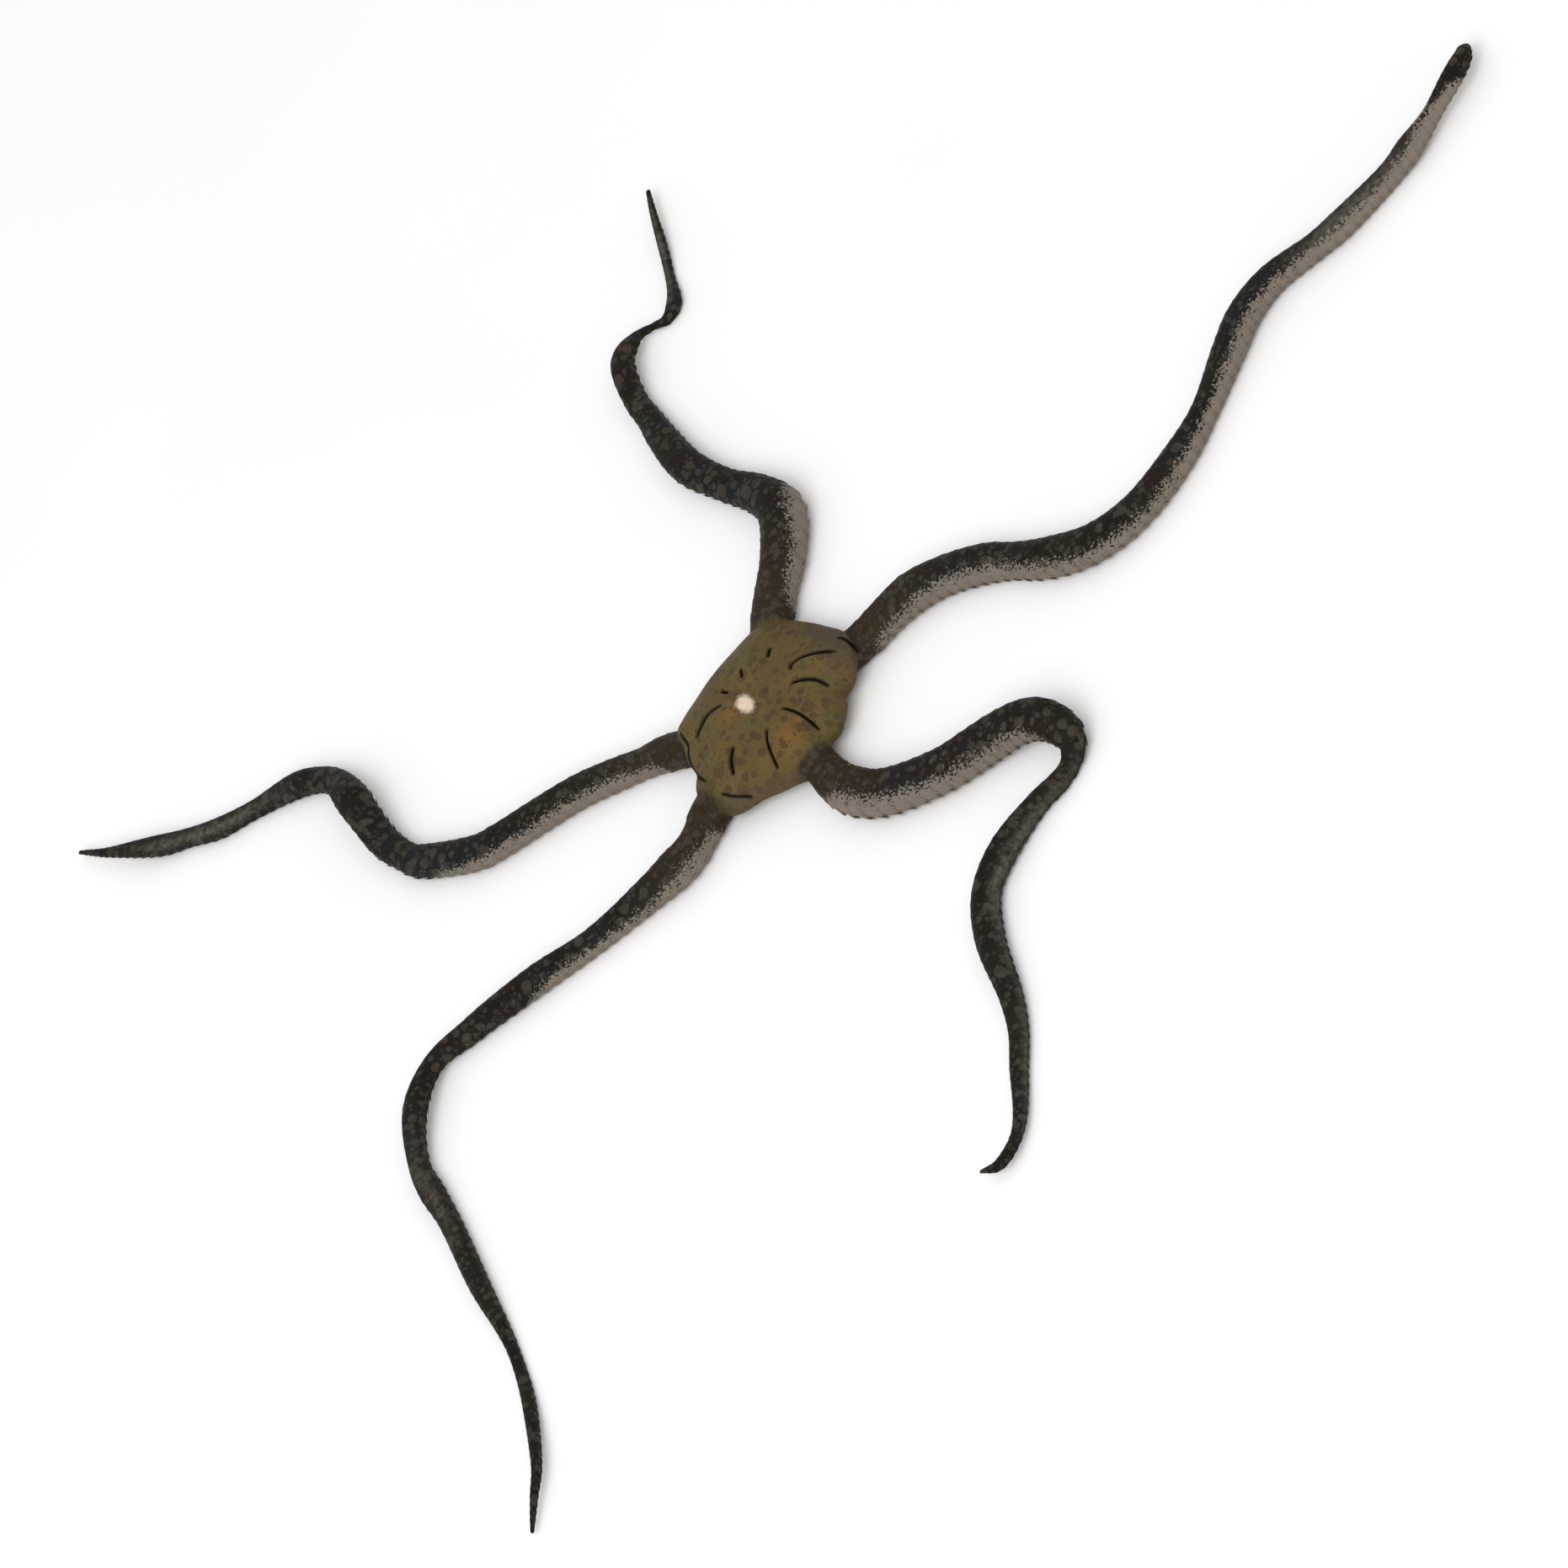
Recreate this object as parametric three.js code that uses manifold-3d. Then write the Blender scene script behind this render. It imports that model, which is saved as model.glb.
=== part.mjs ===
// A smooth brittle star (a serpent star) of life size, lying at rest on a level floor.
// Millimetres, +Z up. The origin is the middle of the mouth, on the floor under the disc.
// Seen along the floor from the front, +X (east) is to the right and +Y (north) is away from the viewer.
import * as THREE from "three";
import { mergeVertices } from "three/addons/utils/BufferGeometryUtils.js";
import Module from "manifold-3d";

const wasm = await Module();
wasm.setup();

const GAP = 0.3; // kept between two neighbouring pieces
const SEED = 5; // of the small differences between one segment or spine and the next

// The disc: a low dome, pushed out a little over the root of each arm.
const DISC_RADIUS = 12.3;
const DISC_HEIGHT = 6.4;
const RIM_HEIGHT = 3;
const BELLY_HEIGHT = 0.6; // the soft belly between the arms stays clear of the floor
const DISC_CORNERS = 60; // points round the rim
const ARM_SHOULDER = 1.2; // how far the rim is pushed out over an arm's root
const SHOULDER_SPREAD = 16; // degrees to each side of the arm
const RAY_SWELLING = 0.35; // the disc's back stands higher over each arm's root
const LOBE_RISE = 1.25; // the rim stands higher where it lies over the root of an arm
const LOBE_SPREAD = 15; // degrees to each side of that arm

// The disc's section, in shares of its radius: [share, share of the rise from the belly to the rim]
// up its side, and shares over its back.
const DISC_SIDE = [[0.72, 0], [0.88, 0.17], [0.97, 0.54], [1, 1]];
const DISC_BACK = [0.965, 0.9, 0.8, 0.66, 0.5, 0.32, 0.14];
const DOME_FLATNESS = 2.4; // the larger, the flatter the top
const DOME_ROUNDNESS = 0.6; // the smaller, the steeper the rim

// How far the sides of the disc, between two arms, stand out from the circle:
// [bearing in degrees from east, millimetres, spread in degrees].
const SIDE_BULGES = [
  [17, 0.25, 24], [91, -0.4, 30], [126, -0.3, 6], [141, -1.5, 10], [165, -1.1, 16],
  [175, 0.45, 5], [-153, 1, 10], [-130, -0.9, 24], [-111, -0.3, 8], [-79, -1.3, 6],
  [-53, -0.85, 20], [-44.5, -0.75, 5], [-34, 0.35, 6], [-21, 0.35, 7],
];

// The furrows on the disc's back that flank the swelling over each arm, as [east, north] points.
const FURROWS = [
  [[6, -1.5], [7.5, -1.6], [9.3, -2.9], [11, -4.6]],
  [[4.5, -3], [5.7, -3.9], [6.8, -5.3], [7.2, -6.8]],
  [[1.6, -4.4], [2.3, -6.5], [2.5, -8.5], [2.4, -10.2]],
  [[-1.4, -4.9], [-2.6, -6.1], [-3.5, -7.7], [-4.3, -9.2]],
  [[-5.5, -2.2], [-6.9, -3.1], [-8.2, -4.6]],
  [[-2.5, 3.9], [-4.1, 4.6], [-5.9, 4.7], [-7.6, 4.7]],
  [[-0.9, 4.6], [-1.2, 5.3], [-1.3, 6.1]],
  [[1.5, 4.3], [1.9, 5], [2.2, 5.7]],
  [[5.3, 3.2], [5.9, 3.8], [6.4, 4.2]],
];
const FURROW_SECTION = [[-0.47, 0.12], [0.47, 0.12], [0, -0.4]]; // [side, height] at its widest
const FURROW_END = 0.35; // size of the section at either end, as a share of the widest
const FURROW_STEP = 1.5; // between two rings of the tool that cuts it

// The mouth frame: the ring of jaws in the middle of the belly.
const MOUTH_RADIUS = 4.2;
const MOUTH_DEPTH = 1.6;
const MOUTH_WAIST = 0.9; // its radius between two arms, as a share of that along an arm
const MOUTH_SLIT = { start: 0.8, widest: 2, end: 3.5, halfWidth: 0.3 };

// On the belly: a shield outside each jaw, and two slits to each side of every arm.
const SHIELD = { out: 5.5, halfLength: 0.9, halfWidth: 1.2, height: 0.3, corners: 8 };
const BELLY_SLITS = { spans: [[6.4, 7.7], [8.3, 9.6]], aside: 3.7, halfWidth: 0.2, depth: 0.5 };

// The arms: each stands on its flat underside, a little wider than high.
const ARM_HEIGHT_SHARE = 0.75; // an arm's height as a share of its width
const ROOT_DISTANCE = 13.6; // from the middle of the disc to the face where an arm begins
const STUMP_RINGS = 5; // along the stump of an arm inside the disc
const STUMP_INWARD = -0.6; // the stump's inner end, as a share of its course's first point
const COURSE_DIVISIONS = 600; // with which the course's length is measured
const COURSE_STEP = 0.05; // with which the root face is found along the course
const SLOPE_REACH = 0.5; // to either side of a place, over which its slope is taken
const SEGMENT_LENGTH = 2.7; // on average
const SEGMENT_SHORTENING = 1.2; // over 1, the segments grow shorter towards the tip
const SEGMENT_VARIATION = 0.06; // of its length, either way
const GROOVE = { side: 0.9, back: 0.96 }; // size of the section between two segments
const FLARE = { side: 1.02, back: 1.02 }; // and at the widest place of a segment
const FLARE_PLACE = 0.75; // that place, as a share of the segment

// The right half of an arm's section, from its flat underside to its back:
// [side, height] in shares of the half width and of the height.
const HALF_SECTION = [
  [0.5, 0], [0.96, 0.3], [0.9, 0.74], [0.36, 1],
];

// The spines: flattened, one on each side of a segment, lying forward along the arm.
const SPINE_HALF_HEIGHT = { share: 0.12, least: 0.3 }; // of the arm's width, at its sunk root
const SPINE_HALF_THICKNESS = { share: 0.09, least: 0.27 };
const SPINE_INNER_FACE = -0.7; // the flat face towards the arm, in half thicknesses
const SPINE_SPLAY = 14; // degrees outward from the arm's heading
const SPINE_LENGTH = 0.72; // in the open, as a share of its segment
const SPINE_SUNK = 0.34; // inside the arm, as a share of its segment
const SPINE_VARIATION = 0.12; // of its open length, either way
const SPINE_PLACE = 0.5; // where it comes out, as a share of its segment
const SPINE_HEIGHT = 0.42; // of the spine over the arm's underside, as a share of the arm's height
const SPINE_SIDE = { root: 0.7, seat: 0.92 }; // how far out it is sunk and comes out, in half widths
const END_SPINE = { place: 0.2, length: 0.5 }; // the last one of a length stays short of its end
const SPINELESS_WIDTH = 1.3; // a thinner arm has none

// Each arm: its course over the floor as [east, north, width], from inside the disc to the tip,
// the distances from its root face at which it is divided into lengths,
// the stretches where it is lifted off the floor as [from, to, height],
// and whether the disc's rim lies over its root.
const ARMS = [
  {
    name: "arm_n",
    course: [
      [4, 5, 5.2], [8.5, 10.5, 5.7], [11.8, 13.8, 5.5], [15.7, 16.7, 5.9], [20, 22, 6.2],
      [20.1, 27.5, 5.2], [18.5, 34, 4.3], [17.4, 41.5, 4.6], [18.3, 49, 4], [19.1, 53, 3.4],
      [19.8, 57, 3.2], [22.4, 62.3, 3.2], [24.6, 63.9, 2.6], [26.4, 64.7, 1.5], [28.4, 64.2, 1],
      [30, 63.2, 1.5], [31.8, 63.5, 2.1], [33, 65, 1.8], [34.2, 67.4, 1.3], [37, 72.4, 1.3],
      [39.1, 76.5, 1], [41.3, 80.6, 0.6],
    ],
    cuts: [15, 32, 50, 61],
    lifts: [[50, 68, 1.2], [72, 110, 1.2]],
    isUnderRim: false,
  },
  {
    name: "arm_ne",
    course: [
      [6, -1.5, 5.6], [14.7, -3.7, 5.2], [17.7, -4, 5.2], [21.9, -5.1, 5.6], [26, -7.6, 5.3],
      [30.3, -12.1, 5.2], [32.3, -15.1, 4.8], [35.4, -20.2, 5.4], [39.9, -24.4, 5.2], [46, -26.4, 4.8],
      [53.9, -26, 4.4], [60.1, -24.2, 3.7], [67.5, -21.1, 4.4], [72, -19.3, 4.5], [77, -19, 4.2],
      [83.6, -21.2, 3.7], [86.9, -22.2, 3.9], [96, -23.3, 3.4], [99, -23.5, 3.6], [104, -23.2, 2.6],
      [109, -22.5, 2.9], [111.4, -21.6, 2.6], [113.1, -19.8, 1.5],
    ],
    cuts: [20, 42, 62, 84],
    lifts: [[92, 125, 1.6]],
    isUnderRim: true,
  },
  {
    name: "arm_se",
    course: [
      [0, -5, 5.4], [-0.6, -11, 5], [-1, -15, 5.4], [-0.7, -19, 6.1], [1.2, -23.3, 6.1],
      [7.6, -28.9, 5.9], [14.8, -32.8, 6], [19.2, -37.1, 5.4], [20.3, -41, 4.6], [19.5, -43.2, 3.5],
      [17.5, -44.3, 2.7], [15, -44.6, 2.9], [12, -44.2, 3.1], [5.2, -45, 4], [0.1, -47.1, 3.8],
      [-4, -52.5, 3.8], [-7.9, -61.6, 3], [-10.4, -65.9, 2.6], [-13.6, -69.7, 2.4],
      [-19.7, -76.8, 1.6], [-23.5, -77.9, 1.5], [-25.7, -75.7, 0.4],
    ],
    cuts: [12, 27, 39, 58, 80],
    lifts: [[24, 44, 1.3], [88, 116, 1]],
    isUnderRim: false,
  },
  {
    name: "arm_sw",
    course: [
      [-6, -1, 5.4], [-13.4, -2, 5.6], [-16.4, -2.8, 4.9], [-18.8, -3.4, 5.2], [-21, -3.3, 5.4],
      [-25, -2.2, 4.7], [-34, 0.7, 3.7], [-42, 4.1, 4.1], [-51.5, 7.7, 3.5], [-57, 8.9, 2.9],
      [-62.8, 5.6, 3.3], [-67.8, -0.4, 2.8], [-69.1, -4.5, 3.3], [-70.3, -10, 2.9],
      [-73.7, -21.5, 2.7], [-76.7, -32.5, 1.6], [-80.7, -42, 1.8], [-85.1, -49.8, 1.4],
      [-87.6, -52.2, 1.1], [-91.1, -55.3, 0.5],
    ],
    cuts: [22, 44, 62, 86],
    lifts: [[40, 66, 1.2], [100, 130, 1.2]],
    isUnderRim: false,
  },
  {
    name: "arm_w",
    course: [
      [-4.5, 4, 5.2], [-9.4, 9.1, 5.1], [-11.6, 11.7, 4.7], [-14, 13.7, 4.2], [-16.4, 15.6, 4.4],
      [-21.5, 19.4, 4.6], [-32.3, 25, 4.7], [-34.4, 26.3, 4.7], [-37.1, 29.4, 4.6], [-40.3, 34.4, 4.3],
      [-40.8, 36.6, 3.9], [-41.2, 40.7, 4.2], [-40.4, 45.8, 4.4], [-39.8, 48.8, 4.7],
      [-39.4, 54.7, 3.7], [-40.2, 57.9, 3.4], [-42.6, 60.9, 3.6], [-48.6, 65, 2.6], [-53.1, 67.8, 2.9],
      [-56.2, 71, 2.6], [-59.5, 74, 2.9], [-64.4, 80.8, 1.3], [-66.8, 86, 0.5],
    ],
    cuts: [20, 38, 55, 74],
    lifts: [[44, 66, 1.4], [84, 112, 1.2]],
    isUnderRim: true,
  },
];

const MATERIALS = {
  disc: new THREE.MeshStandardMaterial({ color: 0x6a5d38, roughness: 0.7, metalness: 0 }),
  arm: new THREE.MeshStandardMaterial({ color: 0x332d28, roughness: 0.6, metalness: 0 }),
  mouth: new THREE.MeshStandardMaterial({ color: 0x9c8f7e, roughness: 0.7, metalness: 0 }),
};

// A source of evenly spread numbers between -1 and 1 that is the same each time.
function seededVariation(seed) {
  let state = seed;
  return () => {
    state = (state * 16807) % 2147483647;
    return (state / 2147483647) * 2 - 1;
  };
}

// The angle between two directions in degrees, from 0 to 180.
function angleBetween(a, b) {
  const turn = Math.abs(a - b) % 360;
  return Math.min(turn, 360 - turn);
}

// A rise that is 1 at a direction and falls off on both sides of it.
function hill(degrees, bearing, spread) {
  return Math.exp(-((angleBetween(degrees, bearing) / spread) ** 2));
}

// A point at a distance and a direction in degrees from the middle of the disc.
function polar(radius, degrees) {
  const angle = THREE.MathUtils.degToRad(degrees);
  return new THREE.Vector2(radius * Math.cos(angle), radius * Math.sin(angle));
}

// The direction in which an arm leaves the disc, in degrees from east.
function armBearing(arm) {
  const [east, north] = arm.course[1];
  return THREE.MathUtils.radToDeg(Math.atan2(north, east));
}

// The directions of the arms in order round the disc, and those of the sides between them.
const ARM_BEARINGS = ARMS.map(armBearing).sort((a, b) => a - b);
const SIDE_BEARINGS = ARM_BEARINGS.map((bearing, i) => {
  const next = i + 1 < ARM_BEARINGS.length ? ARM_BEARINGS[i + 1] : ARM_BEARINGS[0] + 360;
  return (bearing + next) / 2;
});

// A closed body through rings with the same number of points. It starts with a flat cap, and ends
// on a tip or with another flat cap.
function loft(rings, tip) {
  const count = rings[0].length;
  const last = (rings.length - 1) * count;
  const faces = [];
  rings.slice(1).forEach((_, i) => {
    for (let k = 0; k < count; k += 1) {
      const next = (k + 1) % count;
      const [a, b] = [i * count + k, i * count + next];
      const [c, d] = [a + count, b + count];
      faces.push(a, b, d, a, d, c);
    }
  });
  for (let k = 1; k < count - 1; k += 1) {
    faces.push(0, k + 1, k);
    if (!tip) faces.push(last, last + k, last + k + 1);
  }
  for (let k = 0; tip && k < count; k += 1) {
    faces.push(last + k, last + ((k + 1) % count), last + count);
  }
  const geometry = new THREE.BufferGeometry().setFromPoints(tip ? [...rings.flat(), tip] : rings.flat());
  geometry.setIndex(faces);
  return geometry;
}

// An upright prism on a flat shape, between two heights.
function prism(shape, low, high) {
  const geometry = new THREE.ExtrudeGeometry(shape, { depth: high - low, bevelEnabled: false });
  return geometry.translate(0, 0, low);
}

// A geometry as a solid for joining and cutting.
function solid(geometry) {
  const bare = geometry.clone();
  bare.deleteAttribute("normal");
  bare.deleteAttribute("uv");
  const merged = mergeVertices(bare, 1e-4);
  return new wasm.Manifold(
    new wasm.Mesh({
      numProp: 3,
      vertProperties: new Float32Array(merged.attributes.position.array),
      triVerts: new Uint32Array(merged.index.array),
    }),
  );
}

function joined(body, geometries) {
  return geometries.reduce((whole, geometry) => whole.add(solid(geometry)), body);
}

function cut(body, geometries) {
  return geometries.reduce((whole, geometry) => whole.subtract(solid(geometry)), body);
}

// A solid as a geometry again: its largest closed surface, which leaves no loose scrap.
function geometryOf(body) {
  const pieces = body.decompose().sort((a, b) => b.volume() - a.volume());
  const mesh = pieces[0].getMesh();
  const geometry = new THREE.BufferGeometry();
  geometry.setAttribute("position", new THREE.BufferAttribute(mesh.vertProperties, 3));
  geometry.setIndex(new THREE.BufferAttribute(mesh.triVerts, 1));
  return geometry;
}

function namedMesh(name, geometry, material) {
  geometry.computeVertexNormals();
  const mesh = new THREE.Mesh(geometry, material);
  mesh.name = name;
  return mesh;
}

// How high an arm's underside is over the floor, at a distance from its root face.
function liftAt(arm, distance) {
  return arm.lifts.reduce((height, [from, to, top]) => {
    const share = THREE.MathUtils.clamp((distance - from) / (to - from), 0, 1);
    return height + top * Math.sin(Math.PI * share) ** 2;
  }, 0);
}

// An arm's course, ready to be asked for the place at any distance from its root face.
function armCourse(arm) {
  const points = arm.course.map((point) => new THREE.Vector3(...point));
  const curve = new THREE.CatmullRomCurve3(points, false, "centripetal");
  curve.arcLengthDivisions = COURSE_DIVISIONS;
  const whole = curve.getLength();
  const pointAt = (along) => curve.getPointAt(THREE.MathUtils.clamp(along / whole, 0, 1));
  let root = 0;
  while (Math.hypot(pointAt(root).x, pointAt(root).y) < ROOT_DISTANCE) {
    root += COURSE_STEP;
  }
  return {
    start: -root,
    length: whole - root,
    place(distance) {
      const share = THREE.MathUtils.clamp((distance + root) / whole, 0, 1);
      const { x, y, z: width } = curve.getPointAt(share);
      const heading = curve.getTangentAt(share).setZ(0).normalize();
      const side = new THREE.Vector3(heading.y, -heading.x, 0);
      const middle = new THREE.Vector3(x, y, liftAt(arm, distance));
      const rise = liftAt(arm, distance + SLOPE_REACH) - liftAt(arm, distance - SLOPE_REACH);
      heading.z = rise / (2 * SLOPE_REACH);
      return { middle, heading, side, width };
    },
  };
}

// The ring of an arm's section at a distance, its sides and back made larger or smaller.
function armRing(course, distance, size) {
  const { middle, side, width } = course.place(distance);
  const half = (width / 2) * size.side;
  const height = width * ARM_HEIGHT_SHARE * size.back;
  const corner = ([across, up]) => {
    const point = middle.clone().addScaledVector(side, across * half);
    return point.setZ(middle.z + up * height);
  };
  const left = HALF_SECTION.map(([across, up]) => corner([-across, up]));
  const right = HALF_SECTION.map(corner).reverse();
  return [...left, ...right];
}

// The grooves between an arm's segments, as distances from its root face.
function grooves(course, vary) {
  const count = Math.round(course.length / SEGMENT_LENGTH);
  const share = (i) => 1 - (1 - i / count) ** SEGMENT_SHORTENING;
  return Array.from({ length: count + 1 }, (_, i) => {
    const place = course.length * share(i);
    const isEnd = i === 0 || i === count;
    return isEnd ? place : place + vary() * SEGMENT_VARIATION * SEGMENT_LENGTH;
  });
}

// The body of the segments between two cuts, with each end drawn back by half the gap.
function segments(course, places) {
  const rings = [armRing(course, places[0] + GAP / 2, GROOVE)];
  places.slice(1).forEach((end, i) => {
    const start = places[i];
    const isLast = i === places.length - 2;
    rings.push(armRing(course, start + (end - start) * FLARE_PLACE, FLARE));
    rings.push(armRing(course, isLast ? end - GAP / 2 : end, GROOVE));
  });
  return loft(rings);
}

// A point in or on an arm's side. Hand is 1 for the right side, -1 for the left.
function sidePoint({ middle, side, width }, hand, share) {
  const point = middle.clone().addScaledVector(side, (hand * width * share) / 2);
  return point.setZ(middle.z + width * ARM_HEIGHT_SHARE * SPINE_HEIGHT);
}

// The tip of a spine that comes out at a place on the course and lies forward along the arm.
function spineTip(place, hand, openLength) {
  const splay = THREE.MathUtils.degToRad(SPINE_SPLAY);
  const tip = sidePoint(place, hand, SPINE_SIDE.seat);
  tip.addScaledVector(place.heading, openLength * Math.cos(splay));
  return tip.addScaledVector(place.side, hand * openLength * Math.sin(splay));
}

// One spine, from its sunk root to its tip: a ridge outside and a flat face towards the arm.
function spine(root, tip, hand, armWidth) {
  const halfHeight = Math.max(SPINE_HALF_HEIGHT.share * armWidth, SPINE_HALF_HEIGHT.least);
  const halfThickness = Math.max(SPINE_HALF_THICKNESS.share * armWidth, SPINE_HALF_THICKNESS.least);
  const along = tip.clone().sub(root).normalize();
  const outward = new THREE.Vector3(hand * along.y, -hand * along.x, 0);
  const corners = [[SPINE_INNER_FACE, 1], [1, 0], [SPINE_INNER_FACE, -1]].map(([across, up]) => {
    const corner = root.clone().addScaledVector(outward, across * halfThickness);
    return corner.setZ(root.z + up * halfHeight);
  });
  if (hand < 0) corners.reverse();
  return loft([corners], tip);
}

// The spines on the segments between two cuts. On the inside of a bend they are shorter.
function spines(course, places, vary) {
  return places.slice(1).flatMap((end, i) => {
    const start = places[i];
    const isLast = i === places.length - 2;
    const distance = THREE.MathUtils.lerp(start, end, isLast ? END_SPINE.place : SPINE_PLACE);
    const place = course.place(distance);
    if (place.width < SPINELESS_WIDTH) return [];
    return [1, -1].map((hand) => {
      const near = sidePoint(course.place(start), hand, SPINE_SIDE.seat);
      const room = near.distanceTo(sidePoint(course.place(end), hand, SPINE_SIDE.seat));
      const open = room * (isLast ? END_SPINE.length : SPINE_LENGTH) * (1 + SPINE_VARIATION * vary());
      const root = sidePoint(course.place(distance - room * SPINE_SUNK), hand, SPINE_SIDE.root);
      return spine(root, spineTip(place, hand, open), hand, place.width);
    });
  });
}

// One arm as its lengths, each a mesh of its own.
function makeArm(arm, armIndex) {
  const vary = seededVariation(SEED + 100 * armIndex);
  const course = armCourse(arm);
  const places = grooves(course, vary);
  const nearest = (distance) => {
    const misses = places.map((place) => Math.abs(place - distance));
    return misses.indexOf(Math.min(...misses));
  };
  const ends = [0, ...arm.cuts.map(nearest), places.length - 1];
  return ends.slice(1).map((end, i) => {
    const span = places.slice(ends[i], end + 1);
    const body = joined(solid(segments(course, span)), spines(course, span, vary));
    return namedMesh(`${arm.name}_${i + 1}`, geometryOf(body), MATERIALS.arm);
  });
}

// The disc's plan radius in a direction.
function discRadius(degrees) {
  const shoulders = ARM_BEARINGS.map((bearing) => ARM_SHOULDER * hill(degrees, bearing, SHOULDER_SPREAD));
  const sides = SIDE_BULGES.map(([bearing, height, spread]) => height * hill(degrees, bearing, spread));
  return [...shoulders, ...sides].reduce((sum, part) => sum + part, DISC_RADIUS);
}

// The height of the disc's rim in a direction.
function rimHeight(degrees) {
  const arms = ARMS.filter((arm) => arm.isUnderRim);
  const lobes = arms.map((arm) => hill(degrees, armBearing(arm), LOBE_SPREAD));
  return RIM_HEIGHT + LOBE_RISE * Math.max(...lobes);
}

// The height of the disc's back at a share of its radius.
function backHeight(share, degrees) {
  const rim = rimHeight(degrees);
  const dome = rim + (DISC_HEIGHT - rim) * (1 - share ** DOME_FLATNESS) ** DOME_ROUNDNESS;
  const overArm = Math.max(...ARM_BEARINGS.map((bearing) => hill(degrees, bearing, SHOULDER_SPREAD)));
  return dome + RAY_SWELLING * overArm * Math.sin(Math.PI * share);
}

// The height of the disc's side in a direction, at a share of the rise from the belly to the rim.
function sideHeight(rise, degrees) {
  return THREE.MathUtils.lerp(BELLY_HEIGHT, rimHeight(degrees), rise);
}

// The dome from the belly round the rim to the back, as one closed body.
function discDome() {
  const ring = (share, heightAt) =>
    Array.from({ length: DISC_CORNERS }, (_, k) => {
      const degrees = (360 * k) / DISC_CORNERS;
      const { x, y } = polar(share * discRadius(degrees), degrees);
      return new THREE.Vector3(x, y, heightAt(degrees));
    });
  return loft([
    ...DISC_SIDE.map(([share, rise]) => ring(share, (degrees) => sideHeight(rise, degrees))),
    ...DISC_BACK.map((share) => ring(share, (degrees) => backHeight(share, degrees))),
  ]);
}

// The stump of an arm inside the disc, from near the mouth to its root face.
function armStump(arm) {
  const course = armCourse(arm);
  const rings = Array.from({ length: STUMP_RINGS }, (_, i) => {
    const share = i / (STUMP_RINGS - 1);
    return armRing(course, THREE.MathUtils.lerp(course.start, -GAP / 2, share), i % 2 ? FLARE : GROOVE);
  });
  const [east, north] = arm.course[0];
  const inward = new THREE.Vector3(east, north, 0).multiplyScalar(STUMP_INWARD);
  return loft([rings[0].map((point) => point.clone().add(inward)), ...rings]);
}

// A tool that cuts one furrow into the disc's back.
function furrowCutter(points) {
  const line = new THREE.CatmullRomCurve3(points.map(([east, north]) => new THREE.Vector3(east, north, 0)));
  const count = Math.max(2, Math.round(line.getLength() / FURROW_STEP));
  const rings = Array.from({ length: count + 1 }, (_, i) => {
    const share = i / count;
    const point = line.getPointAt(share);
    const heading = line.getTangentAt(share);
    const side = new THREE.Vector3(heading.y, -heading.x, 0);
    const degrees = THREE.MathUtils.radToDeg(Math.atan2(point.y, point.x));
    point.z = backHeight(point.length() / discRadius(degrees), degrees);
    const size = THREE.MathUtils.lerp(FURROW_END, 1, Math.sqrt(Math.sin(Math.PI * share)));
    return FURROW_SECTION.map(([across, up]) => {
      const corner = point.clone().addScaledVector(side, across * size);
      return corner.setZ(point.z + up * size);
    });
  });
  return loft(rings);
}

// The outline of the mouth frame, widened by a margin: a corner along each arm and one between.
function mouthOutline(margin) {
  const radius = MOUTH_RADIUS + margin;
  const waist = radius * MOUTH_WAIST;
  return ARM_BEARINGS.flatMap((bearing, i) => [polar(radius, bearing), polar(waist, SIDE_BEARINGS[i])]);
}

function makeMouthFrame() {
  const { start, widest, end, halfWidth } = MOUTH_SLIT;
  const corners = [[start, 0], [widest, -halfWidth], [end, 0], [widest, halfWidth]];
  const shape = new THREE.Shape(mouthOutline(0));
  shape.holes = ARM_BEARINGS.map((bearing) => {
    const angle = THREE.MathUtils.degToRad(bearing);
    const points = corners.map(([out, across]) => new THREE.Vector2(out, across));
    return new THREE.Path(points.map((point) => point.rotateAround(new THREE.Vector2(), angle)));
  });
  return namedMesh("mouth_frame", prism(shape, 0, MOUTH_DEPTH), MATERIALS.mouth);
}

// The low shield outside one jaw, standing out of the belly.
function mouthShield(bearing) {
  const angle = THREE.MathUtils.degToRad(bearing);
  const outline = Array.from({ length: SHIELD.corners }, (_, k) => {
    const turn = (2 * Math.PI * k) / SHIELD.corners;
    const point = new THREE.Vector2(SHIELD.halfLength * Math.cos(turn), SHIELD.halfWidth * Math.sin(turn));
    return point.add(new THREE.Vector2(SHIELD.out, 0)).rotateAround(new THREE.Vector2(), angle);
  });
  return prism(new THREE.Shape(outline), BELLY_HEIGHT - SHIELD.height, BELLY_HEIGHT + GAP);
}

// The tools that cut the slits into the belly along one arm.
function bellySlits(bearing) {
  const angle = THREE.MathUtils.degToRad(bearing);
  return [1, -1].flatMap((hand) =>
    BELLY_SLITS.spans.map(([near, far]) => {
      const inner = hand * BELLY_SLITS.aside - BELLY_SLITS.halfWidth;
      const outer = hand * BELLY_SLITS.aside + BELLY_SLITS.halfWidth;
      const corners = [[near, inner], [far, inner], [far, outer], [near, outer]];
      const outline = corners.map(([out, across]) => new THREE.Vector2(out, across));
      outline.forEach((point) => point.rotateAround(new THREE.Vector2(), angle));
      return prism(new THREE.Shape(outline), 0, BELLY_HEIGHT + BELLY_SLITS.depth);
    }),
  );
}

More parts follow.
